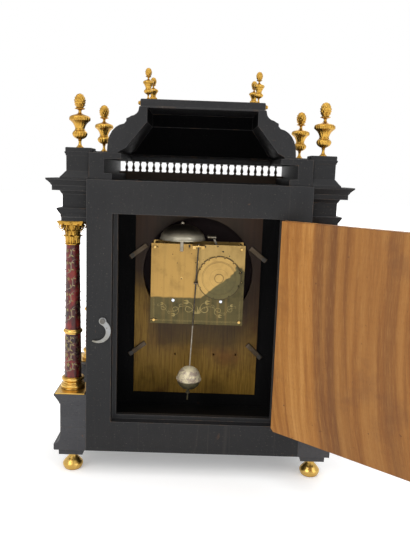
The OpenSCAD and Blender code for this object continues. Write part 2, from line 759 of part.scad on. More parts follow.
module screws() {
    color("#8e8f92") {
        screw_y(hook_x, hook_z, rear_y, rear_y + 0.3 + hook_t + 0.2, 2, 3.6, 1.6);
        for (s = [-1, 1], z = clip_zs) screw_y(s*clip_x, z, frame_y - 8, clip_y + clip_t + 0.2,
            clip_screw_r, 3.4, 1.6);
    }
}

// Front door with its arched glass
door_z0 = ped_top + 2;
door_z1 = ent_z - 1;
fdoor_hw = hw - 2.2;
fdoor_y1 = side_y0 - gap;
fdoor_y0 = fdoor_y1 - fdoor_t;
sight_z0 = door_z0 + 15;
arch_z = door_z1 - 9.5 - sight_hw;
glass_in = 9;
fpin_x = fdoor_hw - 0.6;
fpin_y = fdoor_y0 - 3.4;

module arch_outline(grow) {
    w = sight_hw + grow;
    polygon(concat([[-w, sight_z0 - grow], [w, sight_z0 - grow]],
        [for (a = [0:9:180]) [w*cos(a), arch_z + w*sin(a)]]));
}

module arch_plate(grow, y0, y1) {
    translate([0, y1, 0]) rotate([90, 0, 0]) linear_extrude(y1 - y0) arch_outline(grow);
}

module front_door() {
    color("#541b17") difference() {
        translate([-fdoor_hw, fdoor_y0, door_z0]) cube([2*fdoor_hw, fdoor_t, door_z1 - door_z0]);
        arch_plate(0, fdoor_y0 - 1, fdoor_y1 + 1);
        arch_plate(3, fdoor_y1 - glass_in, fdoor_y1 + 1);
        translate([-fdoor_hw + 9, fdoor_y0 + 8, dial_z - 60]) cube([3, 5, 1], center = true);
    }
}

module front_glass() {
    color("#cfd8dc") arch_plate(2.8, fdoor_y1 - glass_in, fdoor_y1 - glass_in + 2);
}

module door_mounts() {
    color("#d0a03a") {
        difference() {
            arch_plate(sight_w, fdoor_y0 - 1.6, fdoor_y0);
            arch_plate(0.4, fdoor_y0 - 2, fdoor_y0 + 1);
        }
        translate([-fdoor_hw + 13, fdoor_y0, dial_z - 62]) difference() {
            rotate([90, 0, 0]) cylinder(h = 1.4, r = 7);
            rotate([90, 0, 0]) translate([0, 0, -1]) cylinder(h = 4, r = 1.6);
            translate([-0.8, -3, -5]) cube([1.6, 4, 5]);
        }
        for (z = fhinge_zs) translate([fpin_x, fpin_y, z + fhinge_l/3 + knuckle_gap]) difference() {
            union() {
                cylinder(h = fhinge_l/3 - 2*knuckle_gap, r = fknuckle_r);
                translate([-fknuckle_r, 0, 0])
                    cube([fknuckle_r, fdoor_y0 - fpin_y, fhinge_l/3 - 2*knuckle_gap]);
                translate([-18, fdoor_y0 - fpin_y - leaf_t, 0])
                    cube([18, leaf_t, fhinge_l/3 - 2*knuckle_gap]);
            }
            translate([0, 0, -1]) cylinder(h = fhinge_l, r = hinge_pin_r + run);
        }
    }
}

fhinge_l = 30;
fhinge_zs = [door_z0 + 26, door_z1 - 26 - fhinge_l];
fknuckle_r = 2.6;

// The door's pins stand in straps on the outside of the case sides, at the front corner
module front_hinges() {
    step = fhinge_l/3;
    color("#b0873a") for (z = fhinge_zs) translate([fpin_x, fpin_y, z]) {
        cylinder(h = fhinge_l, r = hinge_pin_r);
        for (i = [0, 2]) translate([0, 0, i*step]) {
            cylinder(h = step, r = fknuckle_r);
            translate([0, -1, 0]) cube([hw - fpin_x + leaf_t, 2, step]);
        }
        translate([hw - fpin_x, -1, 0]) cube([leaf_t, side_y0 - fpin_y + 15, fhinge_l]);
    }
}

// Mask board behind the dial, and the four turn-clips that hold it
module mask_board() {
    color("#8a5a22") difference() {
        translate([-mask_hw, frame_y - mask_t, mask_z0]) cube([2*mask_hw, mask_t, mask_z1 - mask_z0]);
        rod_y(0, dial_z, frame_y - mask_t - 1, frame_y + 1, mask_hole_r);
        for (p = [[33, dial_z - 137], [-30, dial_z - 136], [-66, dial_z - 135]])
            rod_y(p[0], p[1], frame_y - mask_t - 1, frame_y + 1, 1.8);
    }
}

module clip(side, z, lift) {
    color("#4a4038") translate([side*clip_x, clip_y, z]) rotate([0, side*lift, 0]) difference() {
        hull() {
            translate([side > 0 ? -clip_l + 8 : -4.6, 0, -3.4]) cube([clip_l - 3.4, clip_t, 6.8]);
            translate([side > 0 ? -clip_l + 8 : -4.6, 0.8, -3.8]) cube([clip_l - 3.4, clip_t - 1.6, 7.6]);
        }
        translate([0, -1, 0]) rotate([-90, 0, 0]) cylinder(h = clip_t + 2, r = clip_screw_r + run);
    }
}

module clip_upper_left() {
    clip(1, clip_zs[0], 38);
}

module clip_upper_right() {
    clip(-1, clip_zs[0], 38);
}

module clip_lower_left() {
    clip(1, clip_zs[1], 38);
}

module clip_lower_right() {
    clip(-1, clip_zs[1], 44);
}

// Dial
foot_x = 56;
foot_zs = [dial_z + 40, dial_z - 52];
ground_y1 = frame_y - mask_t;
ground_t = 2;
barrel_x = 36;
barrel_z = dial_z - 34;
hub_r = 4;
face_y = ground_y1 - ground_t;
ring_t = 1.2;

module dial_ground() {
    color("#1d1414") difference() {
        translate([-mask_hw + lip + 0.5, face_y, mask_z0 + lip + ground_low])
            cube([2*(mask_hw - lip) - 1, ground_t, mask_z1 - mask_z0 - 2*lip - ground_low - ground_high]);
        rod_y(0, dial_z, face_y - 1, ground_y1 + 1, hub_r + 1.4);
        for (s = [-1, 1]) rod_y(s*barrel_x, barrel_z, face_y - 1, ground_y1 + 1, 3.4);
    }
    color("#b98f3a") for (s = [-1, 1], z = foot_zs) {
        rod_y(s*foot_x, z, ground_y1 - 0.1, mov_front, 2.2);
        rod_y(s*foot_x, z, ground_y1 - 0.1, ground_y1 + 1.4, 4);
    }
}

module chapter_ring() {
    color("#d5b05a") rotate([90, 0, 0]) translate([0, 0, -face_y]) difference() {
        translate([0, dial_z, 0]) cylinder(h = ring_t, r = ring_r);
        translate([0, dial_z, -1]) cylinder(h = ring_t + 2, r = ring_in_r);
    }
}

// Hands: pierced hour hand and slim minute hand, each with a round eye
module hand(l, eye, bore, w, y) {
    a0 = acos(w/2/eye);
    translate([0, y, dial_z]) rotate([90, 0, 0]) linear_extrude(0.9) difference() {
        polygon(concat([for (i = [0:20]) eye*[cos(a0 - i*(9 + a0/10)), sin(a0 - i*(9 + a0/10))]],
            [[-w*0.36, l*0.34], [-w, l*0.42], [-w*1.5, l*0.56], [-w*0.9, l*0.68],
            [-w*0.3, l*0.74], [0, l], [w*0.3, l*0.74], [w*0.9, l*0.68], [w*1.5, l*0.56],
            [w, l*0.42], [w*0.36, l*0.34]]));
        translate([0, l*0.56]) circle(r = w*0.62);
        circle(r = bore);
    }
}

module hour_hand() {
    color("#2a2f3a") hand(43, 5.4, 3.3, 4.4, face_y - 2.2);
}

module minute_hand() {
    color("#2a2f3a") translate([0, 0, dial_z]) rotate([0, 60, 0])
        translate([0, 0, -dial_z]) hand(64, 4.4, 1.9, 3, face_y - 4.2);
}

// Toothed wheel: straight-flanked teeth with backlash, first tooth on +X
module gear(n, m, t, bore) {
    p = m*n/2;
    add = 0.62*m;
    ded = 0.95*m;
    half = 180/n;
    linear_extrude(t) difference() {
        polygon([for (i = [0:n - 1]) for (q = [[-0.35, -ded], [-0.13, add], [0.13, add], [0.35, -ded]])
            (p + q[1])*[cos((i + q[0])*2*half), sin((i + q[0])*2*half)]]);
        if (bore > 0) circle(r = bore);
    }
}

// Puts a wheel on an arbor along Y: z0 is its far face, turn its phase
module on_y(x, z, y, turn) {
    translate([x, y, z]) rotate([90, 0, 0]) rotate(turn) children();
}

big_n = 60;
small_n = 12;
second_n = 36;
centre_n = 40;
contrate_n = 10;
arbor_r = 1.6;
barrel_arbor_r = 2.2;
washer_r = 4.6;
step1 = tooth_m*(big_n + small_n)/2 + 0.15;
step2 = tooth_m*(second_n + small_n)/2 + 0.15;
step3 = tooth_m*(centre_n + contrate_n)/2 + 0.15;
reach_c = norm([barrel_x, barrel_z - dial_z]);
along = (step1*step1 - step2*step2 + reach_c*reach_c)/(2*reach_c);
off = sqrt(step1*step1 - along*along);
dir_x = -barrel_x/reach_c;
dir_z = (dial_z - barrel_z)/reach_c;
second_x = barrel_x + along*dir_x + off*dir_z;
second_z = barrel_z + along*dir_z - off*dir_x;
contrate_z = dial_z + step3;
count_x = -32;
count_z = barrel_z + sqrt(step1*step1 - (count_x + barrel_x)*(count_x + barrel_x));
great_y = mov_inner - 6;
small_y = mov_inner - 14;
train_holes = [[0, 0], [second_x, second_z - dial_z], [0, contrate_z - dial_z],
    [count_x, count_z - dial_z]];
spare_holes = [[-28, 49.3], [-35.7, 42], [-63.9, 10.8], [-66.8, -4], [2.3, 19.2], [13.6, 46.4]];
verge_z = dial_z + 46.5;
hammer_x = -33;
hammer_z = dial_z + 34;

// Pillar places, near the corners of the plates
pillar_x = mov_w/2 - 5.5;
pillar_zs = [dial_z + mov_up - 5.5, dial_z + mov_up - mov_h + 5.5];

module plate_blank(y0) {
    difference() {
        translate([-mov_w/2, y0, dial_z + mov_up - mov_h]) cube([mov_w, mov_t, mov_h]);
        for (p = train_holes) rod_y(p[0], dial_z + p[1], y0 - 1, y0 + mov_t + 1, arbor_r + run);
        for (s = [-1, 1]) rod_y(s*barrel_x, barrel_z, y0 - 1, y0 + mov_t + 1, barrel_arbor_r + run);
        for (s = [-1, 1], z = pillar_zs) rod_y(s*pillar_x, z, y0 - 1, y0 + mov_t + 1, 2);
        rod_y(0, verge_z, y0 - 1, y0 + mov_t + 1, 1.2 + run);
        rod_y(hammer_x, hammer_z, y0 - 1, y0 + mov_t + 1, 1.2 + run);
    }
}

module front_plate() {
    color("#b98f3a") plate_blank(mov_front);
}

module back_plate() {
    color("#c9a24a") {
        difference() {
            plate_blank(mov_inner);
            for (p = spare_holes) rod_y(p[0], dial_z + p[1], mov_inner - 1, mov_rear + 1, 0.9);
        }
        for (s = [-1, 1]) difference() {
            rod_y(s*barrel_x, barrel_z, mov_rear - 0.1, mov_rear + 0.6, washer_r);
            rod_y(s*barrel_x, barrel_z, mov_rear - 1, mov_rear + 1, barrel_arbor_r + run);
        }
    }
}

// Turned pillars, riveted into the front plate and held behind by taper pins
module pillars() {
    h = mov_gap;
    r = pillar_d/2;
    color("#c9a24a") for (s = [-1, 1], z = pillar_zs) translate([s*pillar_x, mov_inner, z])
        rotate([90, 0, 0]) {
            rotate_extrude() polygon([[0, 0], [r + 1, 0], [r + 1, 1.6], [r*0.7, 3], [r, 6], [r*0.7, h*0.3],
                [r*0.62, h*0.5 - 4], [r + 0.8, h*0.5 - 2], [r + 0.8, h*0.5 + 2], [r*0.62, h*0.5 + 4],
                [r*0.7, h*0.7], [r, h - 6], [r*0.7, h - 3], [r + 1, h - 1.6], [r + 1, h], [0, h]]);
            translate([0, 0, -mov_t - 2.6]) cylinder(h = mov_t + 2.7, r = 2);
            translate([0, 0, h - 0.1]) cylinder(h = mov_t + 0.1, r = 2);
            rotate([0, s > 0 ? 90 : -90, 0]) translate([mov_t + 1.1, 0, -5]) cylinder(h = 10, r1 = 0.9, r2 = 0.5);
        }
}

// Barrel with its drum, great wheel, arbor and winding square
module barrel_form(x, turn) {
    drum = mov_gap - 12;
    on_y(x, barrel_z, great_y, 0) {
        rotate(turn) gear(big_n, tooth_m, 2, 0);
        translate([0, 0, 1.6]) cylinder(h = drum + 0.4, r = 21);
        translate([0, 0, drum + 2]) cylinder(h = 1, r = 22.4);
        translate([0, 0, great_y - mov_rear - 0.8]) cylinder(h = mov_rear + 0.9 - great_y, r = barrel_arbor_r);
        translate([0, 0, drum + 3]) cylinder(h = great_y - drum - mov_front, r = barrel_arbor_r);
        translate([-2, -2, great_y - mov_front + 1]) cube([4, 4, mov_front - face_y + 3]);
    }
}

function toward(x0, z0, x1, z1) = atan2(z1 - z0, x1 - x0);

module going_barrel() {
    color("#b98f3a") barrel_form(barrel_x, toward(barrel_x, barrel_z, second_x, second_z));
}

module strike_barrel() {
    color("#b98f3a") barrel_form(-barrel_x, toward(-barrel_x, barrel_z, count_x, count_z));
}

module pinion_phase(x0, z0, x1, z1, n) {
    rotate(toward(x0, z0, x1, z1) + 180/n) children();
}

module going_second() {
    color("#c9a24a") {
        rod_y(second_x, second_z, mov_front, mov_rear, arbor_r);
        on_y(second_x, second_z, great_y + 0.5, 0)
            pinion_phase(second_x, second_z, barrel_x, barrel_z, small_n) gear(small_n, tooth_m, 3, 0);
        on_y(second_x, second_z, mov_inner - 2.5, toward(second_x, second_z, 0, dial_z))
            gear(second_n, tooth_m, 1.6, 0);
    }
}

cannon_n = 16;
minute_n = 32;
mpinion_n = 8;
hour_n = 48;
motion_a = 21.15;
motion_m1 = 0.875;
motion_m2 = 0.75;
minute_x = 15;
minute_z = dial_z - sqrt(motion_a*motion_a - minute_x*minute_x);
cannon_y = mov_front - 2;
hour_y = mov_front - 6;

module centre_arbor() {
    color("#b9b9bc") {
        rod_y(0, dial_z, mov_front - 1, mov_rear, arbor_r);
        rod_y(0, dial_z, face_y - 6.8, mov_front - 0.3, 1.85);
    }
    color("#c9a24a") {
        on_y(0, dial_z, mov_inner - 1.9, 0) pinion_phase(0, dial_z, second_x, second_z, small_n)
            gear(small_n, tooth_m, 2.6, 0);
        on_y(0, dial_z, small_y - 12, toward(0, dial_z, 0, contrate_z)) gear(centre_n, tooth_m, 1.6, 0);
        on_y(0, dial_z, cannon_y, toward(0, dial_z, minute_x, minute_z)) gear(cannon_n, motion_m1, 1.6, 0);
        translate([0, face_y - 5.2, dial_z]) rotate([90, 0, 0]) cylinder(h = 1.4, r = 3);
    }
}

module minute_wheel() {
    color("#c9a24a") {
        rod_y(minute_x, minute_z, hour_y - 2, mov_front - 0.6, 1.4);
        on_y(minute_x, minute_z, cannon_y - 0.1, 0)
            pinion_phase(minute_x, minute_z, 0, dial_z, minute_n) gear(minute_n, motion_m1, 1.4, 0);
        on_y(minute_x, minute_z, cannon_y - 1.6, 0)
            pinion_phase(minute_x, minute_z, 0, dial_z, mpinion_n) gear(mpinion_n, motion_m2, 4, 0);
    }
}

module hour_wheel() {
    color("#c9a24a") difference() {
        union() {
            on_y(0, dial_z, hour_y, toward(0, dial_z, minute_x, minute_z)) gear(hour_n, motion_m2, 1.4, 0);
            rod_y(0, dial_z, face_y - 3.3, hour_y, 3.3);
        }
        rod_y(0, dial_z, face_y - 4, hour_y + 1, 1.85 + run);
    }
}

// Contrate wheel: its teeth point forwards into the pinion of the upright crown wheel
crown_r = 9;
crown_h = 6.2;
crown_z = verge_z - 8;
crown_y = mov_inner - 21;
contrate_y = mov_inner - 12;
contrate_r = 12;
contrate_teeth = 30;
contrate_rim = 1.4;
crown_pn = 6;
crown_m = 2*(contrate_r - contrate_rim/2)/contrate_teeth;
crown_root = crown_m*(crown_pn/2 - 0.95);
crown_arbor_r = 0.9;
potence_z = contrate_z + 6.2;

module contrate_wheel() {
    tips = contrate_y - crown_y - crown_root - 0.2;
    color("#c9a24a") {
        rod_y(0, contrate_z, mov_front, mov_rear, arbor_r);
        on_y(0, contrate_z, small_y - 11.6, 0)
            pinion_phase(0, contrate_z, 0, dial_z, contrate_n) gear(contrate_n, tooth_m, 2.8, 0);
        on_y(0, contrate_z, contrate_y, 0) difference() {
            cylinder(h = tips, r = contrate_r);
            translate([0, 0, 1.2]) cylinder(h = tips, r = contrate_r - contrate_rim);
            for (i = [0:contrate_teeth - 1]) rotate(i*360/contrate_teeth)
                translate([contrate_r - 4, -0.75, 3]) cube([6, 1.5, tips]);
            for (a = [0:90:270]) rotate(a + 45) translate([6.2, 0, -1]) cylinder(h = 3, r = 3.1);
        }
    }
}

module crown_wheel() {
    foot = potence_z - 0.4;
    color("#c9a24a") translate([0, crown_y, 0]) {
        translate([0, 0, foot]) cylinder(h = crown_z - foot + 1, r = crown_arbor_r);
        translate([0, 0, potence_z + 1.6]) gear(crown_pn, crown_m, crown_z - 1.6 - potence_z - 1.6, 0);
        translate([0, 0, crown_z]) difference() {
            cylinder(h = crown_h, r = crown_r);
            translate([0, 0, 1.2]) cylinder(h = crown_h, r = crown_r - 1.3);
            for (a = [0:24:336]) rotate(a) translate([0, 0, 2.4]) linear_extrude(crown_h)
                polygon([[crown_r - 3, 0.2], [crown_r + 2, 0.4], [crown_r + 2, 3.2], [crown_r - 3, 2]]);
        }
    }
}

module strike_second() {
    color("#c9a24a") {
        rod_y(count_x, count_z, mov_front, mov_rear + 4.4, arbor_r);
        on_y(count_x, count_z, great_y + 0.5, 0)
            pinion_phase(count_x, count_z, -barrel_x, barrel_z, small_n) gear(small_n, tooth_m, 3, 0);
        on_y(count_x, count_z, mov_inner - 2.5, 0) gear(second_n, tooth_m, 1.6, 0);
        on_y(count_x, count_z, mov_rear + 2.8, 0) difference() {
            union() {
                cylinder(h = 1.8, r = count_r);
                translate([0, 0, -0.8]) cylinder(h = 1, r = count_r - 9);
                translate([0, 0, -1.8]) cylinder(h = 2, r = 6);
            }
            for (i = [1:12]) rotate(360*(i*(i + 1)/2)/90 + 20) translate([count_r - 2.6, -1.1, -1]) cube([4, 2.2, 4]);
        }
    }
}

// Bell on its stand, and the hammer
bell_x = 25;
bell_y = mov_inner - 20;
bell_z = dial_z + mov_up + 4.5;

module bell() {
    ro = bell_r;
    t = 1.8;
    color("#4b3f2c") translate([bell_x, bell_y, bell_z]) difference() {
        rotate_extrude() polygon(concat(
            [[ro, 0], [ro, 1.4]],
            [for (a = [6:12:90]) [(ro - 1)*cos(a), 1.4 + (bell_hh - 1.4)*sin(a)]],
            [for (a = [90:-12:6]) [(ro - 1 - t)*cos(a), 0.6 + (bell_hh - 1.4 - t)*sin(a)]],
            [[ro - t - 0.6, 0]]));
        translate([0, 0, bell_hh - 5]) cylinder(h = 8, r = 1.9);
    }
}

module bell_stand() {
    z0 = dial_z + mov_up;
    color("#77777a") {
        translate([bell_x - 2.2, mov_rear, z0 - 11]) cube([4.4, 1.6, 14]);
        translate([bell_x - 2.2, bell_y - 2.6, z0 + 1.4]) cube([4.4, mov_rear + 1.6 - bell_y + 2.6, 1.6]);
        translate([bell_x, bell_y, z0 + 2.9]) cylinder(h = bell_z + bell_hh - z0 + 0.4, r = 1.9 - run);
        translate([bell_x, bell_y, bell_z + bell_hh - 6.4]) cylinder(h = 3.4, r = 3.4);
        translate([bell_x, bell_y, bell_z + bell_hh + 0.1]) cylinder(h = 2.6, r = 3.6, $fn = 6);
        rod_y(bell_x, z0 - 8, mov_rear + 1.5, mov_rear + 3, 2.4);
    }
}

module hammer() {
    head_l = 13;
    head_x = bell_x - bell_r - 3.6 - head_l;
    head_z = bell_z + 4.6;
    color("#77777a") {
        rod_y(hammer_x, hammer_z, mov_front, mov_rear, 1.2);
        translate([hammer_x - 1.6, bell_y - 1.2, hammer_z]) cube([3.2, 2.4, 4]);
        hull() {
            translate([hammer_x, bell_y + 1.2, hammer_z + 3]) rotate([90, 0, 0]) cylinder(h = 2.4, r = 1.5, $fn = 24);
            translate([head_x + 4, bell_y + 1.2, head_z]) rotate([90, 0, 0]) cylinder(h = 2.4, r = 1.4, $fn = 24);
        }
        translate([head_x, bell_y, head_z]) rotate([0, 90, 0]) cylinder(h = head_l, r = 3.3);
    }
}

// Brass cocks: the suspension cock behind the plate and the potence of the crown wheel
susp_y = mov_rear + 9;
susp_z = verge_z + 4.8;
susp_pin_r = 0.8;
loop_r = 2;
loop_t = 0.7;

module cocks() {
    bed = susp_z - susp_pin_r + 0.15;
    color("#c9a24a") {
        difference() {
            union() {
                for (x = [-9, 4]) translate([x, mov_rear, verge_z - 2.2]) cube([5, 1.6, bed - verge_z + 2.2]);
                translate([-9, mov_rear, bed - 1.6]) cube([18, 12.6, 1.6]);
            }
            translate([-loop_r - 1.2, susp_y - rod_d/2 - gap, bed - 3])
                cube([2*loop_r + 2.4, rod_d + 2*gap, 5]);
        }
        rod_y(0, susp_z, susp_y - 3.6, susp_y + 3.4, susp_pin_r);
        difference() {
            union() {
                translate([-3, mov_front_in, potence_z]) cube([6, crown_y - mov_front_in + 2.4, 1.2]);
                translate([-3, mov_front_in, crown_z - 1.3]) cube([6, crown_y - mov_front_in + 1.5, 1]);
                translate([-3, mov_front_in, potence_z]) cube([6, 1.6, crown_z + 3 - potence_z]);
            }
            translate([0, crown_y, potence_z - 1]) cylinder(h = crown_h + 6, r = crown_arbor_r + run);
        }
    }
}

// Verge with its two pallets, and the crutch that leads the pendulum
crutch_l = 52;
crutch_y = mov_rear + 4;
fork_r = susp_z - verge_z + crutch_l;
crutch_lean = asin(sin(pend_lean)*fork_r/crutch_l);

module crutch() {
    color("#8f9094") {
        rod_y(0, verge_z, mov_front, crutch_y + 1.6, 1.2);
        for (s = [-1, 1]) translate([0, crown_y + s*(crown_r + 1.8), verge_z]) rotate([0, s*48, 0])
            translate([-0.6, -1.2, -4]) cube([1.2, 2.4, 4]);
        translate([0, 0, verge_z]) rotate([0, -crutch_lean, 0]) {
            translate([-0.9, crutch_y, -crutch_l]) cube([1.8, 1.6, crutch_l]);
            difference() {
                translate([-3.2, crutch_y, -crutch_l - 1]) cube([6.4, 9.2, 2]);
                translate([-rod_d/2 - 0.5, susp_y - 2.4, -crutch_l - 2]) cube([rod_d + 1, 4.8, 4]);
            }
        }
    }
}

bob_up = 19.5;
bob_down = 17;
tail = 34;

// Pendulum: thin rod from its silk loop, round bob with a raised girdle, and the rating nut
module pendulum() {
    r = bob_d/2;
    l = pend_l + susp_z - verge_z;
    color("#c0b386") translate([0, susp_y, susp_z]) rotate([0, -pend_lean, 0]) {
        translate([0, 0, -l - tail]) cylinder(h = l + tail - loop_r + loop_t, r = rod_d/2);
        translate([0, loop_t, 0]) rotate([90, 0, 0]) difference() {
            cylinder(h = 2*loop_t, r = loop_r);
            translate([0, 0, -1]) cylinder(h = 4, r = susp_pin_r + run);
        }
        translate([0, 0, -l]) rotate_extrude() polygon(concat([[0, -bob_down]],
            [for (a = [-75:15:-15]) [(r - 1.2)*cos(a), bob_down*sin(a)]],
            [[r - 1.2, -1.8], [r, -0.9], [r, 0.9], [r - 1.2, 1.8]],
            [for (a = [15:15:75]) [(r - 1.2)*cos(a), bob_up*sin(a)]], [[0, bob_up]]));
        translate([0, 0, -l - bob_down - 6]) cylinder(h = 2.6, r = 3.4);
        translate([0, 0, -l - bob_down - 3.5]) cylinder(h = 4, r = 2);
    }
}

back_frame();
case_sides();
case_boards();
front_frame();
base_front();
base_course();
foot_blocks();
bun_feet();
pedestals();
plinth_plates();
column_bases();
column_shafts();
column_rings();
capitals();
side_entablatures();
front_entablature();
attic_pedestals();
corner_finials();
gallery_frame();
balustrade();
hood();
hood_top();
top_bosses();
top_finials();
back_door();
back_hinges();
back_door_leaves();
door_hook();
screws();
front_door();
front_glass();
door_mounts();
front_hinges();
mask_board();
clip_upper_left();
clip_upper_right();
clip_lower_left();
clip_lower_right();
dial_ground();
chapter_ring();
hour_hand();
minute_hand();
hour_wheel();
minute_wheel();
centre_arbor();
front_plate();
back_plate();
pillars();
going_barrel();
going_second();
contrate_wheel();
crown_wheel();
strike_barrel();
strike_second();
bell();
bell_stand();
hammer();
cocks();
crutch();
pendulum();
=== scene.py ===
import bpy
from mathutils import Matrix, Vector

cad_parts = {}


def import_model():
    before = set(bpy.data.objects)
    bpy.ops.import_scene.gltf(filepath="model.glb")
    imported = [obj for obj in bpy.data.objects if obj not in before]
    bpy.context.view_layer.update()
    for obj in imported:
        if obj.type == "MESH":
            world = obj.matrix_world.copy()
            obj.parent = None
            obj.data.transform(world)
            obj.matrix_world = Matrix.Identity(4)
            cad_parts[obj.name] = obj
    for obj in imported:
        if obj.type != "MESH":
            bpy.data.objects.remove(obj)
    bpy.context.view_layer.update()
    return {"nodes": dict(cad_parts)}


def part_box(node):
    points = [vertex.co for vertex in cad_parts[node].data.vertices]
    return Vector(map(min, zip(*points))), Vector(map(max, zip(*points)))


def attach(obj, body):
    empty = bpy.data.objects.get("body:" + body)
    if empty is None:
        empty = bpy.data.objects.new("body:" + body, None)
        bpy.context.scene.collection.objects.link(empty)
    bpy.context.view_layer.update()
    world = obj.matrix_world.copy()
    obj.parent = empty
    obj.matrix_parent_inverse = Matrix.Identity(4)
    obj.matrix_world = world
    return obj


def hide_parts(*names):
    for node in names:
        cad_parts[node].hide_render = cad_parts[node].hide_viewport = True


bl_info = {
    "name": "Four-column table clock",
    "version": (1, 0, 0),
    "blender": (4, 5, 0),
    "location": "View3D > Sidebar > Clock",
    "description": "Dresses the clock's frame with its ebonised, gilt and brass work",
    "category": "Object",
}

import math
import random

import bmesh
import bpy
from bpy.props import FloatProperty, FloatVectorProperty, IntProperty, PointerProperty
from mathutils import Matrix, Vector
from mathutils.bvhtree import BVHTree

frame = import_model()
MM = 0.001
TAU = 2 * math.pi


# Places read from the frame

def corners_of(node):
    """A node's like pieces, one towards each corner, as (lowest corner, highest corner)."""
    obj = frame["nodes"][node]
    low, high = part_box(node)
    mid_y = (low.y + high.y) / 2
    groups = {}
    for v in obj.data.vertices:
        groups.setdefault((v.co.x > 0, v.co.y > mid_y), []).append(v.co)
    found = []
    for key in sorted(groups):
        pts = groups[key]
        found.append((Vector([min(p[i] for p in pts) for i in range(3)]),
                      Vector([max(p[i] for p in pts) for i in range(3)])))
    return found


def middle(low, high):
    return (low + high) / 2


# Mesh helpers

def mesh_from(name, verts, faces):
    mesh = bpy.data.meshes.new(name)
    mesh.from_pydata([tuple(v) for v in verts], [], faces)
    mesh.update()
    return mesh


def put(name, mesh, mat, body="case", replaces=(), smooth=None):
    """Makes the finished piece: its mesh in place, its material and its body."""
    obj = bpy.data.objects.new(name, mesh)
    bpy.context.scene.collection.objects.link(obj)
    mesh.materials.clear()
    mesh.materials.append(mat)
    if smooth is not None:
        soften(mesh, smooth)
    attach(obj, body)
    if replaces:
        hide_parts(*replaces)
    return obj


def soften(mesh, angle):
    """Smooth faces, with sharp edges where two faces meet at more than the angle."""
    bm = bmesh.new()
    bm.from_mesh(mesh)
    limit = math.radians(angle)
    for f in bm.faces:
        f.smooth = True
    for e in bm.edges:
        e.smooth = len(e.link_faces) == 2 and e.calc_face_angle(0) < limit
    bm.to_mesh(mesh)
    bm.free()


def joined(parts):
    """Many (verts, faces) as one."""
    verts, faces = [], []
    for vs, fs in parts:
        n = len(verts)
        verts.extend(vs)
        faces.extend([tuple(i + n for i in f) for f in fs])
    return verts, faces


def moved(part, matrix):
    return [matrix @ Vector(v) for v in part[0]], part[1]


def resized(part, factor):
    return [v * factor for v in part[0]], part[1]


def quads(rings, n, looped=False, flip=False):
    """Four-sided faces between rings of n points; looped joins the last ring to the first."""
    faces = []
    for i in range(rings if looped else rings - 1):
        a, b = i * n, (i + 1) % rings * n
        for k in range(n):
            after = (k + 1) % n
            face = (a + k, a + after, b + after, b + k)
            faces.append((a + k, b + k, b + after, a + after) if flip else face)
    return faces


def spun(section, around):
    """A closed section (radius, height), turned about Z to a ring without an axis."""
    verts = []
    for i in range(around):
        a = TAU * i / around
        verts += [Vector((r * math.cos(a), r * math.sin(a), z)) for r, z in section]
    return verts, quads(around, len(section), True, True)


def size_mm(low, high):
    """Width, depth and height of a box in mm."""
    return (high - low) / MM


def lathe(profile, around, shape=None):
    """A closed turning about Z. The profile is (radius, height) from foot to head, both in mm and on the
    axis at its ends; shape(turn, height, radius) may change the radius."""
    verts = []
    rings = [p for p in profile if p[0] > 1e-4]
    for r, z in rings:
        for i in range(around):
            a = TAU * i / around
            rr = shape(a, z, r) if shape else r
            verts.append(Vector((rr * math.cos(a), rr * math.sin(a), z)) * MM)
    faces = quads(len(rings), around)
    foot, head = len(verts), len(verts) + 1
    verts.append(Vector((0, 0, profile[0][1])) * MM)
    verts.append(Vector((0, 0, profile[-1][1])) * MM)
    last = (len(rings) - 1) * around
    for i in range(around):
        j = (i + 1) % around
        faces.append((foot, j, i))
        faces.append((head, last + i, last + j))
    return verts, faces


def rounded(points, steps):
    """A smooth curve through the points of a profile; a point given twice stays a sharp corner."""
    out = []
    spots = [Vector(p) for p in points]
    last = len(spots) - 1
    for k in range(last):
        p1, p2 = spots[k], spots[k + 1]
        if (p2 - p1).length < 1e-9:
            continue
        p0, p3 = spots[max(k - 1, 0)], spots[min(k + 2, last)]
        for s in range(steps):
            t = s / steps
            q = 0.5 * ((2 * p1) + (p2 - p0) * t + (2 * p0 - 5 * p1 + 4 * p2 - p3) * t * t
                       + (3 * p1 - p0 - 3 * p2 + p3) * t ** 3)
            out.append((max(q.x, 0.0), q.y))
    out.append(points[-1])
    return out


def ribbon(path, widths, place, proud, sink=0.1, ridge=0.35):
    """A closed strip of relief that follows a flat path; place(u, v, h) sets a point on its surface."""
    n = len(path)
    verts = []
    for i, p in enumerate(path):
        a = Vector(path[max(i - 1, 0)])
        b = Vector(path[min(i + 1, n - 1)])
        d = (b - a).normalized() if (b - a).length > 1e-9 else Vector((1, 0))
        side = Vector((-d.y, d.x)) * widths[i] / 2
        left, right = Vector(p) + side, Vector(p) - side
        flank = proud * (1 - ridge)
        verts += [place(left.x, left.y, -sink), place(left.x, left.y, flank), place(p[0], p[1], proud),
                  place(right.x, right.y, flank), place(right.x, right.y, -sink)]
    return verts, quads(n, 5, flip=True) + [(0, 1, 2, 3, 4), tuple(5 * (n - 1) + k for k in (4, 3, 2, 1, 0))]


def outward(verts, faces, name, merge=True):
    """A mesh whose doubled points are merged and whose faces point outwards."""
    mesh = mesh_from(name, verts, faces)
    bm = bmesh.new()
    bm.from_mesh(mesh)
    if merge:
        bmesh.ops.remove_doubles(bm, verts=bm.verts, dist=1e-7)
    bmesh.ops.recalc_face_normals(bm, faces=bm.faces)
    bm.to_mesh(mesh)
    bm.free()
    return mesh


def cast(name, parts, mat, body="case", replaces=(), smooth=None, merge=True):
    """Many (verts, faces) as one finished piece in its place."""
    return put(name, outward(*joined(parts), name, merge), mat, body, replaces, smooth)


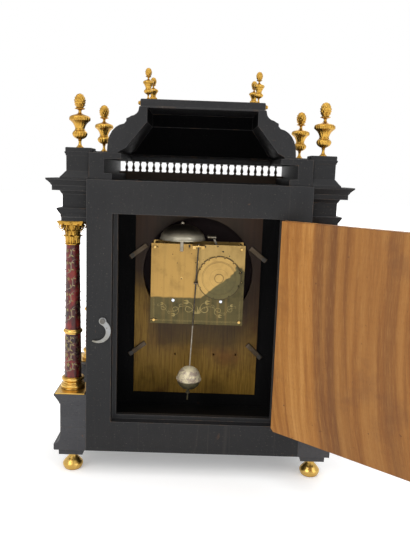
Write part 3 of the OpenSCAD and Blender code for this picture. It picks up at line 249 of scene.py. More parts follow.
def spiral(cx, cy, radius, start, turns, eye, steps, hand):
    """A flat volute from its outside to its eye, whose size is a share of the radius."""
    pts = []
    for i in range(steps + 1):
        t = i / steps
        a = start + hand * TAU * turns * t
        r = radius * ((1 - t) ** 1.25 * (1 - eye) + eye)
        pts.append((cx + r * math.cos(a), cy + r * math.sin(a)))
    return pts


def taper(n, wide, ends, head=None):
    """Widths along a strip: narrow at both ends, widest before its middle, with a head where one is given."""
    out = []
    for i in range(n):
        t = i / (n - 1)
        w = math.sin(math.pi * min(1, 0.08 + t * 0.92) ** 0.8) ** 0.7
        out.append(wide * max(ends, w))
    if head:
        out[-1] = out[-2] = head
    return out


def bent(x0, y0, x1, y1, bow, steps):
    """A flat curve between two points that bows to one side."""
    d = Vector((x1 - x0, y1 - y0))
    side = Vector((-d.y, d.x)) * bow
    out = []
    for i in range(steps + 1):
        t = i / steps
        p = Vector((x0, y0)) + d * t + side * 4 * t * (1 - t)
        out.append((p.x, p.y))
    return out


def leaf_fan(x, y, turn, size, count, spread, wide):
    """A fan of pointed leaflets about one point, as (path, widths)."""
    out = []
    for i in range(count):
        t = i / (count - 1) - 0.5
        a = turn + spread * t
        length = size * (1 - 0.38 * abs(2 * t) ** 1.3)
        tip = (x + length * math.cos(a), y + length * math.sin(a))
        path = bent(x, y, tip[0], tip[1], 0.12 * (1 if t >= 0 else -1), 6)
        out.append((path, taper(len(path), size * wide, 0.12)))
    return out


# Repeated small work

def socket_id(tree, name):
    for item in tree.interface.items_tree:
        if item.item_type == "SOCKET" and item.in_out == "INPUT" and item.name == name:
            return item.identifier
    raise KeyError(name)


def repeat_tree():
    """Geometry Nodes: a pattern piece on every point, turned and sized by the points' own values."""
    tree = bpy.data.node_groups.get("repeat_on_points")
    if tree:
        return tree
    tree = bpy.data.node_groups.new("repeat_on_points", "GeometryNodeTree")
    face = tree.interface
    face.new_socket("Geometry", in_out="INPUT", socket_type="NodeSocketGeometry")
    face.new_socket("Pattern", in_out="INPUT", socket_type="NodeSocketObject")
    face.new_socket("Size", in_out="INPUT", socket_type="NodeSocketFloat").default_value = 1.0
    face.new_socket("Finish", in_out="INPUT", socket_type="NodeSocketMaterial")
    face.new_socket("Geometry", in_out="OUTPUT", socket_type="NodeSocketGeometry")
    make = tree.nodes.new
    given, made = make("NodeGroupInput"), make("NodeGroupOutput")
    points, info = make("GeometryNodeMeshToPoints"), make("GeometryNodeObjectInfo")
    turn, grow = make("GeometryNodeInputNamedAttribute"), make("GeometryNodeInputNamedAttribute")
    turn.data_type, grow.data_type = "FLOAT_VECTOR", "FLOAT"
    turn.inputs["Name"].default_value, grow.inputs["Name"].default_value = "turn", "grow"
    euler = make("FunctionNodeEulerToRotation")
    size = make("ShaderNodeMath")
    size.operation = "MULTIPLY"
    place, real = make("GeometryNodeInstanceOnPoints"), make("GeometryNodeRealizeInstances")
    coat = make("GeometryNodeSetMaterial")
    for source, out, target, into in (
            (given, "Geometry", points, "Mesh"), (given, "Pattern", info, "Object"),
            (points, "Points", place, "Points"), (info, "Geometry", place, "Instance"),
            (turn, "Attribute", euler, 0), (euler, 0, place, "Rotation"),
            (grow, "Attribute", size, 0), (given, "Size", size, 1), (size, 0, place, "Scale"),
            (place, "Instances", real, "Geometry"), (real, "Geometry", coat, "Geometry"),
            (given, "Finish", coat, "Material"), (coat, "Geometry", made, "Geometry")):
        tree.links.new(source.outputs[out], target.inputs[into])
    return tree


def repeated(name, pattern, places, mat):
    """Sets the pattern (verts, faces) at each place (matrix), and gives the mesh."""
    host_mesh = mesh_from(name + "_points", [m.to_translation() for m in places], [])
    for key, kind in (("turn", "FLOAT_VECTOR"), ("grow", "FLOAT")):
        host_mesh.attributes.new(key, kind, "POINT")
    turn, grow = host_mesh.attributes["turn"], host_mesh.attributes["grow"]
    for i, m in enumerate(places):
        turn.data[i].vector = m.to_euler()
        grow.data[i].value = m.to_scale()[0]
    host = bpy.data.objects.new(name + "_points", host_mesh)
    shape = bpy.data.objects.new(name + "_pattern", outward(*pattern, name + "_pattern"))
    for o in (host, shape):
        bpy.context.scene.collection.objects.link(o)
    tree = repeat_tree()
    mod = host.modifiers.new("repeat", "NODES")
    mod.node_group = tree
    mod[socket_id(tree, "Pattern")] = shape
    mod[socket_id(tree, "Size")] = 1.0
    mod[socket_id(tree, "Finish")] = mat
    graph = bpy.context.evaluated_depsgraph_get()
    graph.update()
    mesh = bpy.data.meshes.new_from_object(host.evaluated_get(graph))
    for o in (host, shape):
        bpy.data.objects.remove(o)
    for attribute in ("turn", "grow"):
        if attribute in mesh.attributes:
            mesh.attributes.remove(mesh.attributes[attribute])
    return mesh


# Finishes

def add(tree, kind, values=None, **props):
    """A shader node with its properties set and its sockets given a value or a link."""
    node = tree.nodes.new(kind)
    for key, value in props.items():
        setattr(node, key, value)
    for key, value in (values or {}).items():
        socket = node.inputs[key]
        if isinstance(value, bpy.types.NodeSocket):
            tree.links.new(value, socket)
        else:
            socket.default_value = value
    return node


def ramp(tree, fac, stops):
    node = add(tree, "ShaderNodeValToRGB", {"Fac": fac})
    marks = node.color_ramp.elements
    while len(marks) < len(stops):
        marks.new(0.5)
    for mark, (at, col) in zip(marks, stops):
        mark.position = at
        mark.color = (*col, 1)
    return node.outputs["Color"]


def mix(tree, fac, a, b):
    """Colour a, with colour b over it as far as fac says."""
    node = add(tree, "ShaderNodeMix", data_type="RGBA")
    for key, value in ((0, fac), (6, a), (7, b)):
        if isinstance(value, bpy.types.NodeSocket):
            tree.links.new(value, node.inputs[key])
        else:
            node.inputs[key].default_value = (*value, 1) if isinstance(value, tuple) else value
    return node.outputs[2]


def layers(tree, col, *coats):
    """A colour under coats, each given as (mask, amount, colour), in the order they are laid on."""
    for mask, amount, coat in coats:
        col = mix(tree, mask if amount == 1 else times(tree, mask, amount), col, coat)
    return col


def sums(tree, operation, a, b=0.0, clamp=False):
    return add(tree, "ShaderNodeMath", {0: a, 1: b}, operation=operation, use_clamp=clamp).outputs[0]


def times(tree, a, b, clamp=False):
    return sums(tree, "MULTIPLY", a, b, clamp)


def plus(tree, a, b):
    return sums(tree, "ADD", a, b)


def minus(tree, a, b):
    return sums(tree, "SUBTRACT", a, b)


def larger(tree, a, b):
    return sums(tree, "MAXIMUM", a, b)


def span(tree, value, start, end, low=0.0, high=1.0):
    """A value that goes from low to high while the given one goes from start to end."""
    ends = {"Value": value, "From Min": start, "From Max": end, "To Min": low, "To Max": high}
    return add(tree, "ShaderNodeMapRange", ends).outputs[0]


def noise(tree, place, scale, detail=2.0, roughness=0.5, distortion=0.0):
    values = {"Vector": place, "Scale": scale, "Detail": detail, "Roughness": roughness}
    return add(tree, "ShaderNodeTexNoise", {**values, "Distortion": distortion}).outputs["Fac"]


def axes(tree, place):
    """The X, Y and Z of a place, by name."""
    return add(tree, "ShaderNodeSeparateXYZ", {"Vector": place}).outputs


def stretched(tree, place, by):
    return add(tree, "ShaderNodeVectorMath", {0: place, 1: by}, operation="MULTIPLY").outputs[0]


def brushed_noise(tree, place, by, detail=3.0, roughness=0.5):
    """Noise drawn out into lines: by is the scale along each axis."""
    return noise(tree, stretched(tree, place, by), 1.0, detail, roughness)


def edge_value(tree):
    """1 on the eased edges that eased() marks, 0 elsewhere; it places rubbed wear, and in ebonised() a
    painted highlight too.
    """
    return add(tree, "ShaderNodeAttribute", attribute_name="edge").outputs["Fac"]


def openness(tree, reach, samples):
    """1 on an open face, down to 0 in a recess narrower than the reach."""
    return add(tree, "ShaderNodeAmbientOcclusion", {"Distance": reach}, samples=samples).outputs["AO"]


def effect(name, inputs, outputs, build):
    """A shader node group with named inputs and outputs, built once."""
    tree = bpy.data.node_groups.get(name)
    if tree:
        return tree
    tree = bpy.data.node_groups.new(name, "ShaderNodeTree")
    for label, kind, value in inputs:
        s = tree.interface.new_socket(label, in_out="INPUT", socket_type=kind)
        if value is not None:
            s.default_value = value
    for label, kind in outputs:
        tree.interface.new_socket(label, in_out="OUTPUT", socket_type=kind)
    given, made = tree.nodes.new("NodeGroupInput"), tree.nodes.new("NodeGroupOutput")
    for label, socket in build(tree, given.outputs).items():
        tree.links.new(socket, made.inputs[label])
    return tree


FLOAT, VECTOR = "NodeSocketFloat", "NodeSocketVector"


def grain_effect():
    def build(t, i):
        scaled = stretched(t, i["Vector"], i["Stretch"])
        broad = noise(t, scaled, 1.0, 3.0, 0.55, 0.35)
        fine = noise(t, scaled, 6.5, 2.0)
        pores = noise(t, scaled, 21.0, 1.0)
        dark = span(t, pores, 0.58, 0.74)
        return {"Broad": broad, "Fine": fine, "Pores": dark}
    return effect("wood_grain", [("Vector", VECTOR, None), ("Stretch", VECTOR, (1, 1, 1))],
                  [("Broad", FLOAT), ("Fine", FLOAT), ("Pores", FLOAT)], build)


def blotch_effect():
    def build(t, i):
        a = noise(t, i["Vector"], i["Scale"], 5.0, 0.6)
        m = span(t, a, i["Low"], i["High"])
        return {"Mask": m}
    return effect("blotches", [("Vector", VECTOR, None), ("Scale", FLOAT, 10.0), ("Low", FLOAT, 0.4),
                               ("High", FLOAT, 0.6)], [("Mask", FLOAT)], build)


def scratch_effect():
    def build(t, i):
        out = None
        for turn, seed in ((0.5, 3.1), (-0.9, 7.7), (1.35, 12.9)):
            m = add(t, "ShaderNodeMapping", {"Vector": i["Vector"], "Location": (seed, seed * 2, seed * 3),
                                             "Rotation": (turn * 0.7, turn, turn * 1.3),
                                             "Scale": (1.0, 1.0, 0.045)}).outputs[0]
            v = add(t, "ShaderNodeTexVoronoi", {"Vector": m, "Scale": i["Scale"]},
                    feature="DISTANCE_TO_EDGE").outputs["Distance"]
            line = span(t, v, 0.012, 0.0)
            gate = noise(t, m, 3.0)
            gate = span(t, gate, 0.56, 0.66)
            line = times(t, line, gate)
            out = line if out is None else larger(t, out, line)
        return {"Mask": out}
    return effect("scratches", [("Vector", VECTOR, None), ("Scale", FLOAT, 30.0)], [("Mask", FLOAT)], build)


def wear_effect():
    """Where an edge is rubbed: the pieces' own edge value, broken up by noise."""
    def build(t, i):
        n = noise(t, i["Vector"], i["Scale"], 4.0, 0.65)
        gate = span(t, n, i["Low"], 0.66)
        return {"Mask": times(t, gate, i["Edge"], True)}
    return effect("edge_wear", [("Vector", VECTOR, None), ("Edge", FLOAT, 0.0), ("Scale", FLOAT, 60.0),
                                ("Low", FLOAT, 0.5)], [("Mask", FLOAT)], build)


def group(tree, kind, values):
    return add(tree, "ShaderNodeGroup", values, node_tree=kind).outputs


def blotches(tree, place, scale, low, high):
    """A mask of soft blotches: 0 where its noise is under low, 1 where it is over high."""
    return group(tree, blotch_effect(), {"Vector": place, "Scale": scale, "Low": low, "High": high})["Mask"]


def scratches(tree, place, scale):
    """A mask of fine scratches in three directions."""
    return group(tree, scratch_effect(), {"Vector": place, "Scale": scale})["Mask"]


def graining(tree, place, stretch):
    """The outputs of the wood grain: Broad, Fine and Pores."""
    return group(tree, grain_effect(), {"Vector": place, "Stretch": stretch})


MADE = {}


def finish(name, build, **fixed):
    """A material: fixed values go on the Principled sockets, build(tree, place) gives what varies."""
    if name in MADE:
        return MADE[name]
    mat = MADE[name] = bpy.data.materials.new(name)
    mat.use_nodes = True
    tree = mat.node_tree
    shader = next(n for n in tree.nodes if n.type == "BSDF_PRINCIPLED")
    for key, value in fixed.items():
        shader.inputs[key.replace("_", " ")].default_value = value
    place = add(tree, "ShaderNodeTexCoord").outputs["Object"]
    for key, value in build(tree, place).items():
        if key == "Bump":
            height, strength, distance = value
            bump = add(tree, "ShaderNodeBump", {"Height": height, "Strength": strength, "Distance": distance})
            tree.links.new(bump.outputs["Normal"], shader.inputs["Normal"])
        elif isinstance(value, bpy.types.NodeSocket):
            tree.links.new(value, shader.inputs[key])
    return mat


def ebonised(name="ebonised_pearwood", tone=0.66, rough=0.46, stretch=(60, 60, 9), chips=0.3, dust=0.5,
             gloss=0.26):
    """Blackened pearwood; tone sets how light it is, chips and dust how much of each it shows; its eased
    edges carry a painted highlight.
    """
    def build(t, p):
        grain = graining(t, p, stretch)
        wide = blotches(t, p, 9.0, 0.35, 0.7)
        black, grey, worn_grey = (tuple(c * tone for c in colour) for colour in (
            (0.0085, 0.0088, 0.0104), (0.0195, 0.0197, 0.0218), (0.026, 0.0245, 0.0245)))
        edge = edge_value(t)
        worn = group(t, wear_effect(), {"Vector": p, "Edge": edge, "Scale": 55.0, "Low": 0.52})["Mask"]
        chip = blotches(t, p, 70.0, 0.69, 0.72)
        nick = scratches(t, p, 22.0)
        speck = span(t, noise(t, p, 520.0), 0.66, 0.74)
        col = layers(t, mix(t, grain["Broad"], black, grey),
                     (wide, 0.5, worn_grey),
                     # painted highlight: every eased edge is lightened grey; the rubbed wear below is laid
                     # over it
                     (edge, 0.55, (0.062, 0.06, 0.06)),
                     (worn, 0.75, (0.11, 0.072, 0.046)),
                     (chip, chips, (0.12, 0.055, 0.026)),
                     (nick, 0.4, (0.13, 0.11, 0.09)),
                     (speck, dust, (0.12, 0.105, 0.085)),
                     (grain["Pores"], 0.4, (0.005, 0.005, 0.006)))
        r = plus(t, times(t, grain["Fine"], 0.26), rough - 0.1)
        h = minus(t, grain["Fine"], times(t, grain["Pores"], 0.7))
        return {"Base Color": col, "Roughness": r, "Bump": (h, 0.2, 0.0006)}
    return finish(name, build, Specular_IOR_Level=gloss)


def walnut():
    """Veneer whose grain follows the open door's face: across is the way from its hinge to its free edge."""
    top_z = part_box("back_door")[1].z
    hinge, way = Vector((-0.1155, 0.093)), Vector((-0.7547, 0.6561))

    def build(t, p):
        xyz = axes(t, p)
        out = times(t, minus(t, xyz["X"], hinge.x), way.x)
        across = plus(t, out, times(t, minus(t, xyz["Y"], hinge.y), way.y))
        down = minus(t, top_z, xyz["Z"])
        lean = times(t, sums(t, "POWER", down, 3.0), 1.15)
        across = minus(t, across, lean)
        sway = noise(t, p, 5.0, 2.0)
        across = plus(t, across, times(t, minus(t, sway, 0.5), 0.014))
        flow = add(t, "ShaderNodeCombineXYZ", {"X": across, "Z": xyz["Z"]}).outputs[0]
        grain = graining(t, flow, (95, 95, 3.2))
        lines = graining(t, flow, (330, 330, 7.0))
        col = ramp(t, grain["Broad"], [(0.28, (0.25, 0.09, 0.018)), (0.42, (0.37, 0.148, 0.031)),
                                       (0.56, (0.48, 0.21, 0.047)), (0.72, (0.58, 0.28, 0.075))])
        greys = ((0.0, 0), (0.05, 0), (0.0565, 0.75), (0.06, 0.45), (0.064, 1), (0.069, 0.35), (0.073, 0.8),
                 (0.0815, 0.9), (0.087, 0.1), (0.1, 0.35), (0.106, 0), (0.15, 0.2), (0.157, 0.7), (0.17, 0.1))
        streak = ramp(t, across, [(at, (grey, grey, grey)) for at, grey in greys])
        shade = times(t, streak, plus(t, times(t, grain["Fine"], 0.8), 0.32), True)
        light = span(t, lines["Fine"], 0.52, 0.7)
        outer = span(t, across, 0.045, 0.085, 0.0, 0.36)
        stain = blotches(t, p, 17.0, 0.58, 0.7)
        fleck = blotches(t, p, 190.0, 0.69, 0.72)
        col = layers(t, col,
                     (shade, 1, (0.1, 0.036, 0.015)),
                     (lines["Broad"], 0.34, (0.2, 0.072, 0.018)),
                     (light, 0.3, (0.72, 0.42, 0.15)),
                     (outer, 1, (0.17, 0.068, 0.02)),
                     (lines["Pores"], 0.6, (0.09, 0.032, 0.012)),
                     (stain, 0.32, (0.14, 0.055, 0.022)),
                     (fleck, 0.7, (0.07, 0.028, 0.014)),
                     (edge_value(t), 0.5, (0.05, 0.025, 0.015)))
        r = plus(t, times(t, lines["Fine"], 0.25), 0.4)
        h = minus(t, lines["Fine"], lines["Pores"])
        return {"Base Color": col, "Roughness": r, "Bump": (h, 0.14, 0.0005)}
    return finish("figured_walnut", build, Specular_IOR_Level=0.25)


def metal(name, clean, dirt_and_shade, rough, recess=0.0, brushed=None, scale=70.0, spots=0.5):
    """A metal with two tones and spots of dirt; recess darkens its hollows with painted shade and dirt, and
    brushed draws lines on it.
    """
    def build(t, p):
        tone = blotches(t, p, scale, 0.38, 0.68)
        rich = tuple(c * k for c, k in zip(clean, (0.86, 0.8, 0.66)))
        dots = blotches(t, p, scale * 5, 0.63, 0.72)
        col = layers(t, mix(t, tone, clean, rich), (dots, spots, dirt_and_shade))
        # painted shade and dirt: the hollows take the second tone as far as they are enclosed
        if recess:
            col = layers(t, col, (span(t, openness(t, 0.005, 6), 0.75, 0.2), recess, dirt_and_shade))
        h = brushed_noise(t, p, brushed) if brushed else noise(t, p, 900.0)
        r = plus(t, times(t, tone, 0.14), times(t, h, 0.16))
        r = plus(t, r, rough - 0.14)
        return {"Base Color": col, "Roughness": r, "Bump": (h, 0.1, 0.0002)}
    return finish(name, build, Metallic=1.0)


def gilt():
    return metal("fire_gilt", (0.46, 0.27, 0.053), (0.08, 0.035, 0.009), 0.38, recess=0.95)


def bright_gilt():
    """The feet and column bases, cleaner than the castings above."""
    return metal("bright_gilt", (0.62, 0.4, 0.11), (0.15, 0.07, 0.018), 0.32, recess=0.85)


def red_shell():
    def build(t, p):
        m = add(t, "ShaderNodeMapping", {"Vector": p, "Scale": (1, 1, 0.5)}).outputs[0]
        clouds = noise(t, m, 90.0, 3.0, distortion=0.8)
        col = ramp(t, clouds, [(0.34, (0.016, 0.004, 0.005)), (0.47, (0.07, 0.008, 0.008)),
                               (0.6, (0.165, 0.013, 0.012)), (0.74, (0.26, 0.03, 0.018))])
        col = layers(t, col, (scratches(t, p, 40.0), 0.35, (0.3, 0.2, 0.15)))
        r = plus(t, times(t, clouds, 0.2), 0.26)
        return {"Base Color": col, "Roughness": r, "Bump": (noise(t, p, 300.0), 0.08, 0.0002)}
    return finish("red_tortoiseshell", build, Specular_IOR_Level=0.35, Coat_Weight=0.12, Coat_Roughness=0.25)


def dark_reflection_effect():
    """Where a painted dark reflection lies on the movement: its plate's foot, and below a slanting line on
    its left side.
    """
    foot_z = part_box("back_plate")[0].z

    def build(t, i):
        xyz = axes(t, i["Vector"])
        wobble = noise(t, i["Vector"], 45.0, 3.0)
        rise = span(t, xyz["X"], -0.006, -0.058, 0.0, 0.047)
        line = plus(t, rise, foot_z + 0.041)
        reach = plus(t, times(t, rise, 0.55), 0.005)
        line = plus(t, line, times(t, minus(t, wobble, 0.55), reach))
        gap = minus(t, line, xyz["Z"])
        return {"Mask": span(t, gap, -0.0012, 0.0012)}
    return effect("painted_dark_reflection", [("Vector", VECTOR, None)], [("Mask", FLOAT)], build)


def plate_brass():
    """Engine-flat plate: pale above, with tarnish blotches; an olive, greener painted dark reflection lies
    over its foot and lower left, and painted shadow in its hollows.
    """
    def build(t, p):
        xyz = axes(t, p)
        # painted dark reflection: an olive band over the plate's foot and lower left
        dark_reflection = group(t, dark_reflection_effect(), {"Vector": p})["Mask"]
        right = span(t, xyz["X"], 0.002, 0.005)
        tarnish = blotches(t, p, 55.0, 0.5, 0.74)
        dots = blotches(t, p, 230.0, 0.66, 0.72)
        stripe = span(t, brushed_noise(t, p, (170, 170, 5), 2.0), 0.5, 0.68)
        # painted shadow: the plate is darkened where it is hemmed in, as under the count wheel's edge
        hollow = span(t, openness(t, 0.0022, 8), 0.85, 0.45)
        col = layers(t, mix(t, right, (0.4, 0.262, 0.088), (0.4, 0.238, 0.066)),
                     (tarnish, 0.5, (0.26, 0.16, 0.05)),
                     (dark_reflection, 1, mix(t, tarnish, (0.083, 0.066, 0.024), (0.058, 0.049, 0.021))),
                     (dots, 0.75, (0.05, 0.035, 0.016)),
                     (stripe, 0.28, (0.24, 0.15, 0.045)),
                     (hollow, 0.85, (0.035, 0.024, 0.012)))
        brush = brushed_noise(t, p, (900, 900, 30))
        r = plus(t, times(t, tarnish, 0.15), times(t, brush, 0.25))
        r = plus(t, r, 0.26)
        return {"Base Color": col, "Roughness": r, "Bump": (brush, 0.12, 0.0002)}
    return finish("movement_plate", build, Metallic=0.75)


def count_brass():
    """The strike's count wheel: turned rings about its hub and a painted shadow along its rim, pale on one
    side and an olive painted dark reflection on the other.
    """
    low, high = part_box("strike_second")
    c, edge_r = middle(low, high), (high.x - low.x) / 2

    def build(t, p):
        xyz = axes(t, p)
        x, z = minus(t, xyz["X"], c.x), minus(t, xyz["Z"], c.z)
        r = sums(t, "SQRT", plus(t, times(t, x, x), times(t, z, z)))
        # painted dark reflection: the same olive band crosses the wheel
        dark_reflection = group(t, dark_reflection_effect(), {"Vector": p})["Mask"]
        cloud = blotches(t, p, 90.0, 0.45, 0.72)
        col = mix(t, times(t, cloud, 0.5), (0.46, 0.29, 0.09), (0.3, 0.18, 0.055))
        col = mix(t, dark_reflection, col, mix(t, cloud, (0.11, 0.09, 0.035), (0.075, 0.065, 0.028)))
        # the first ring is a painted shadow along the rim; the others are engraved rings
        grooves_and_rim_shadow = ((edge_r - 0.0004, 0.0011, 0.9), (edge_r * 0.77, 0.0005, 0.55),
                   (edge_r * 0.72, 0.0004, 0.4), (edge_r * 0.42, 0.0004, 0.3), (edge_r * 0.2, 0.0009, 0.6))
        for at, wide, depth in grooves_and_rim_shadow:
            away = sums(t, "ABSOLUTE", minus(t, r, at))
            col = layers(t, col, (span(t, away, wide, wide * 0.3), depth, (0.05, 0.035, 0.016)))
        turned = noise(t, add(t, "ShaderNodeCombineXYZ", {"X": r}).outputs[0], 1500.0)
        rough = plus(t, times(t, turned, 0.2), 0.28)
        return {"Base Color": col, "Roughness": rough, "Bump": (turned, 0.12, 0.0002)}
    return finish("count_wheel_brass", build, Metallic=0.75)


def bell_bronze():
    """Bell metal with painted reflection: dark at its crown, mirroring the dark case above, and pale towards
    its lip, mirroring the light.
    """
    low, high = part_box("bell")

    def build(t, p):
        wobble = minus(t, noise(t, p, 35.0, 3.0), 0.5)
        z = plus(t, axes(t, p)["Z"], times(t, wobble, 0.01))
        # painted reflection: dark towards the crown and pale towards the lip
        up = span(t, z, low.z, high.z)
        col = ramp(t, up, [(0.0, (0.6, 0.53, 0.36)), (0.14, (1.0, 0.93, 0.74)),
                           (0.34, (0.85, 0.76, 0.57)), (0.5, (0.3, 0.26, 0.19)),
                           (0.75, (0.09, 0.075, 0.06)), (1.0, (0.05, 0.042, 0.034))])
        turned = brushed_noise(t, p, (60, 60, 900), 2.0)
        r = plus(t, times(t, turned, 0.15), 0.27)
        return {"Base Color": col, "Roughness": r, "Bump": (turned, 0.1, 0.0002)}
    return finish("bell_painted_reflection", build, Metallic=0.4)


def pendulum_metal():
    """Rod painted dark above the plate's foot as painted shade, and pale below it; a stained cream bob, its
    pale top partly a painted reflection, with a painted-shade olive underside.
    """
    foot_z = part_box("pendulum")[0].z
    plate_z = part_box("back_plate")[0].z
    seam_z = foot_z + 0.0312
    bob_top_z = foot_z + 0.0533

    def build(t, p):
        z = axes(t, p)["Z"]
        n = noise(t, p, 120.0, 4.0, 0.65)
        stain = span(t, n, 0.46, 0.6)
        pale, black, cream, olive = (mix(t, stain, clean, stained) for clean, stained in (
            ((0.32, 0.27, 0.2), (0.5, 0.45, 0.36)), ((0.02, 0.014, 0.01), (0.07, 0.05, 0.03)),
            ((0.8, 0.7, 0.46), (0.4, 0.31, 0.24)), ((0.16, 0.14, 0.075), (0.09, 0.075, 0.045))))
        # painted shade: the rod is near black above the plate's foot and pale below it
        rod = mix(t, span(t, z, plate_z - 0.002, plate_z + 0.001), pale, black)
        # painted shade and reflection: the bob is pale above its seam, partly a painted reflection, and olive
        # below it as painted shade
        under = span(t, z, seam_z + 0.0004, seam_z - 0.0004)
        seam = span(t, sums(t, "ABSOLUTE", minus(t, z, seam_z)), 0.0007, 0.0002)
        bob = layers(t, cream, (under, 1, olive), (seam, 0.7, (0.06, 0.045, 0.03)))
        top = span(t, z, bob_top_z, bob_top_z + 0.0005)
        r = plus(t, times(t, n, 0.25), 0.2)
        return {"Base Color": mix(t, top, bob, rod), "Roughness": r, "Bump": (n, 0.08, 0.0002)}
    return finish("pendulum_metal", build, Metallic=0.1)


def mask_paint():
    """The board behind the dial: bare reddish wood above and aside, bronze paint worn and glossy below."""
    low_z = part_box("mask_board")[0].z
    plate_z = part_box("back_plate")[0].z

    def build(t, p):
        xyz = axes(t, p)
        grain = graining(t, p, (130, 130, 6))
        n = noise(t, p, 14.0, 4.0)
        wave = times(t, minus(t, n, 0.5), 0.05)
        z, x = plus(t, xyz["Z"], wave), plus(t, xyz["X"], times(t, wave, 0.3))
        down = span(t, z, plate_z + 0.01, low_z + 0.03)
        left = times(t, span(t, x, 0.07, 0.08), span(t, z, plate_z + 0.075, plate_z + 0.04))
        cover = larger(t, plus(t, times(t, down, 0.75), 0.12), times(t, left, 0.72))
        cover = times(t, cover, minus(t, 1.0, times(t, span(t, z, plate_z + 0.02, plate_z + 0.1), 0.8)), True)
        wood = mix(t, grain["Broad"], (0.026, 0.012, 0.007), (0.085, 0.038, 0.02))
        streak = span(t, brushed_noise(t, p, (420, 420, 16), 3.0, 0.7), 0.5, 0.66)
        bronze = layers(t, mix(t, grain["Fine"], (0.24, 0.13, 0.02), (0.78, 0.46, 0.085)),
                        (streak, 0.55, (0.13, 0.055, 0.012)),
                        (span(t, n, 0.52, 0.7), 1, (0.32, 0.12, 0.025)))
        shade = times(t, span(t, z, plate_z - 0.058, plate_z - 0.045), span(t, x, 0.068, 0.06))
        shade = times(t, shade, span(t, x, -0.085, -0.06))
        dirt = blotches(t, p, 30.0, 0.48, 0.72)
        col = layers(t, mix(t, cover, wood, bronze),
                     (shade, 0.5, (0.035, 0.024, 0.01)),
                     (dirt, 0.5, (0.08, 0.04, 0.015)),
                     (scratches(t, p, 16.0), 0.6, (0.04, 0.022, 0.012)))
        r = plus(t, times(t, grain["Fine"], 0.2), 0.34)
        return {"Base Color": col, "Metallic": times(t, cover, 0.4), "Roughness": r,
                "Bump": (grain["Fine"], 0.15, 0.0004)}
    return finish("bronze_painted_board", build, Specular_IOR_Level=0.3)


def velvet():
    def build(t, p):
        nap = noise(t, p, 700.0, 3.0)
        lay = blotches(t, p, 28.0, 0.35, 0.7)
        col = layers(t, mix(t, lay, (0.016, 0.008, 0.009), (0.032, 0.017, 0.018)),
                     (nap, 0.4, (0.05, 0.03, 0.03)))
        return {"Base Color": col, "Bump": (nap, 0.4, 0.0004)}
    return finish("black_velvet", build, Roughness=0.9, Sheen_Weight=0.35, Sheen_Roughness=0.4)


def glass():
    def build(t, p):
        wave = noise(t, p, 14.0, 1.0)
        dust = blotches(t, p, 60.0, 0.45, 0.9)
        return {"Roughness": times(t, dust, 0.07), "Bump": (wave, 0.05, 0.002)}
    return finish("old_crown_glass", build, Base_Color=(0.93, 0.96, 0.95, 1), Transmission_Weight=1.0,
                  IOR=1.5, Specular_IOR_Level=0.5)


def dark_wood(name, dark, light, stretch):
    def build(t, p):
        grain = graining(t, p, stretch)
        pore = tuple(c * 0.4 for c in dark)
        col = layers(t, mix(t, grain["Broad"], dark, light), (grain["Pores"], 0.6, pore))
        r = plus(t, times(t, grain["Fine"], 0.25), 0.42)
        return {"Base Color": col, "Roughness": r, "Bump": (grain["Fine"], 0.15, 0.0004)}
    return finish(name, build, Specular_IOR_Level=0.35)


def steel(name, tone, rough, rust, brushed=(500, 500, 60)):
    return metal(name, tone, (0.09, 0.06, 0.04), rough, brushed=brushed, scale=45.0, spots=rust)


# Eased wood

FLAT, SHARP = math.radians(1.0), math.radians(28)


def eased(node, width, mat, body="case"):
    """A copy of a board or moulding with its sharp edges taken off, and its eased edges marked for wear and
    painted highlight.
    """
    src = frame["nodes"][node].data
    bm = bmesh.new()
    bm.from_mesh(src)
    bmesh.ops.remove_doubles(bm, verts=bm.verts, dist=2e-6)
    bmesh.ops.dissolve_limit(bm, angle_limit=FLAT, verts=bm.verts, edges=bm.edges)
    sharp = [e for e in bm.edges if len(e.link_faces) == 2 and e.calc_face_angle(0) > SHARP]
    layer = bm.faces.layers.float.new("wear_and_highlight")
    made = bmesh.ops.bevel(bm, geom=sharp, offset=width * MM, offset_type="OFFSET", segments=2, profile=0.6,
                           affect="EDGES", clamp_overlap=True)
    for f in made["faces"]:
        f[layer] = 1.0
    mesh = bpy.data.meshes.new(node + "_eased")
    bm.to_mesh(mesh)
    bm.free()
    wear_and_highlight = mesh.attributes["wear_and_highlight"]
    values = [wear_and_highlight.data[p.index].value for p in mesh.polygons]
    edge = mesh.attributes.new("edge", "FLOAT", "CORNER")
    for p in mesh.polygons:
        for k in p.loop_indices:
            edge.data[k].value = values[p.index]
    mesh.attributes.remove(mesh.attributes["wear_and_highlight"])
    return put(node + "_eased", mesh, mat, body, [node], 24)


# Settings

LENGTH = {"subtype": "DISTANCE", "unit": "LENGTH"}


class ClockCase(bpy.types.PropertyGroup):
    edge_round: FloatProperty(
        name="Edge rounding", description="Rounding of the wood's edges",
        default=0.0006, min=0.0001, max=0.002, **LENGTH)
    door_round: FloatProperty(
        name="Door edge rounding", description="Rounding of the rear door's edges",
        default=0.0007, min=0.0001, max=0.002, **LENGTH)


class ClockMounts(bpy.types.PropertyGroup):
    gadroons: IntProperty(
        name="Gadroons", description="Lobes round the body of a vase", default=14, min=6, max=24)
    scales: IntProperty(
        name="Scales", description="Scales round the head of a finial", default=8, min=5, max=14)
    inlay_proud: FloatProperty(
        name="Inlay height", description="How far the inlay stands over the shell",
        default=0.00012, min=0.00002, max=0.0005, **LENGTH)


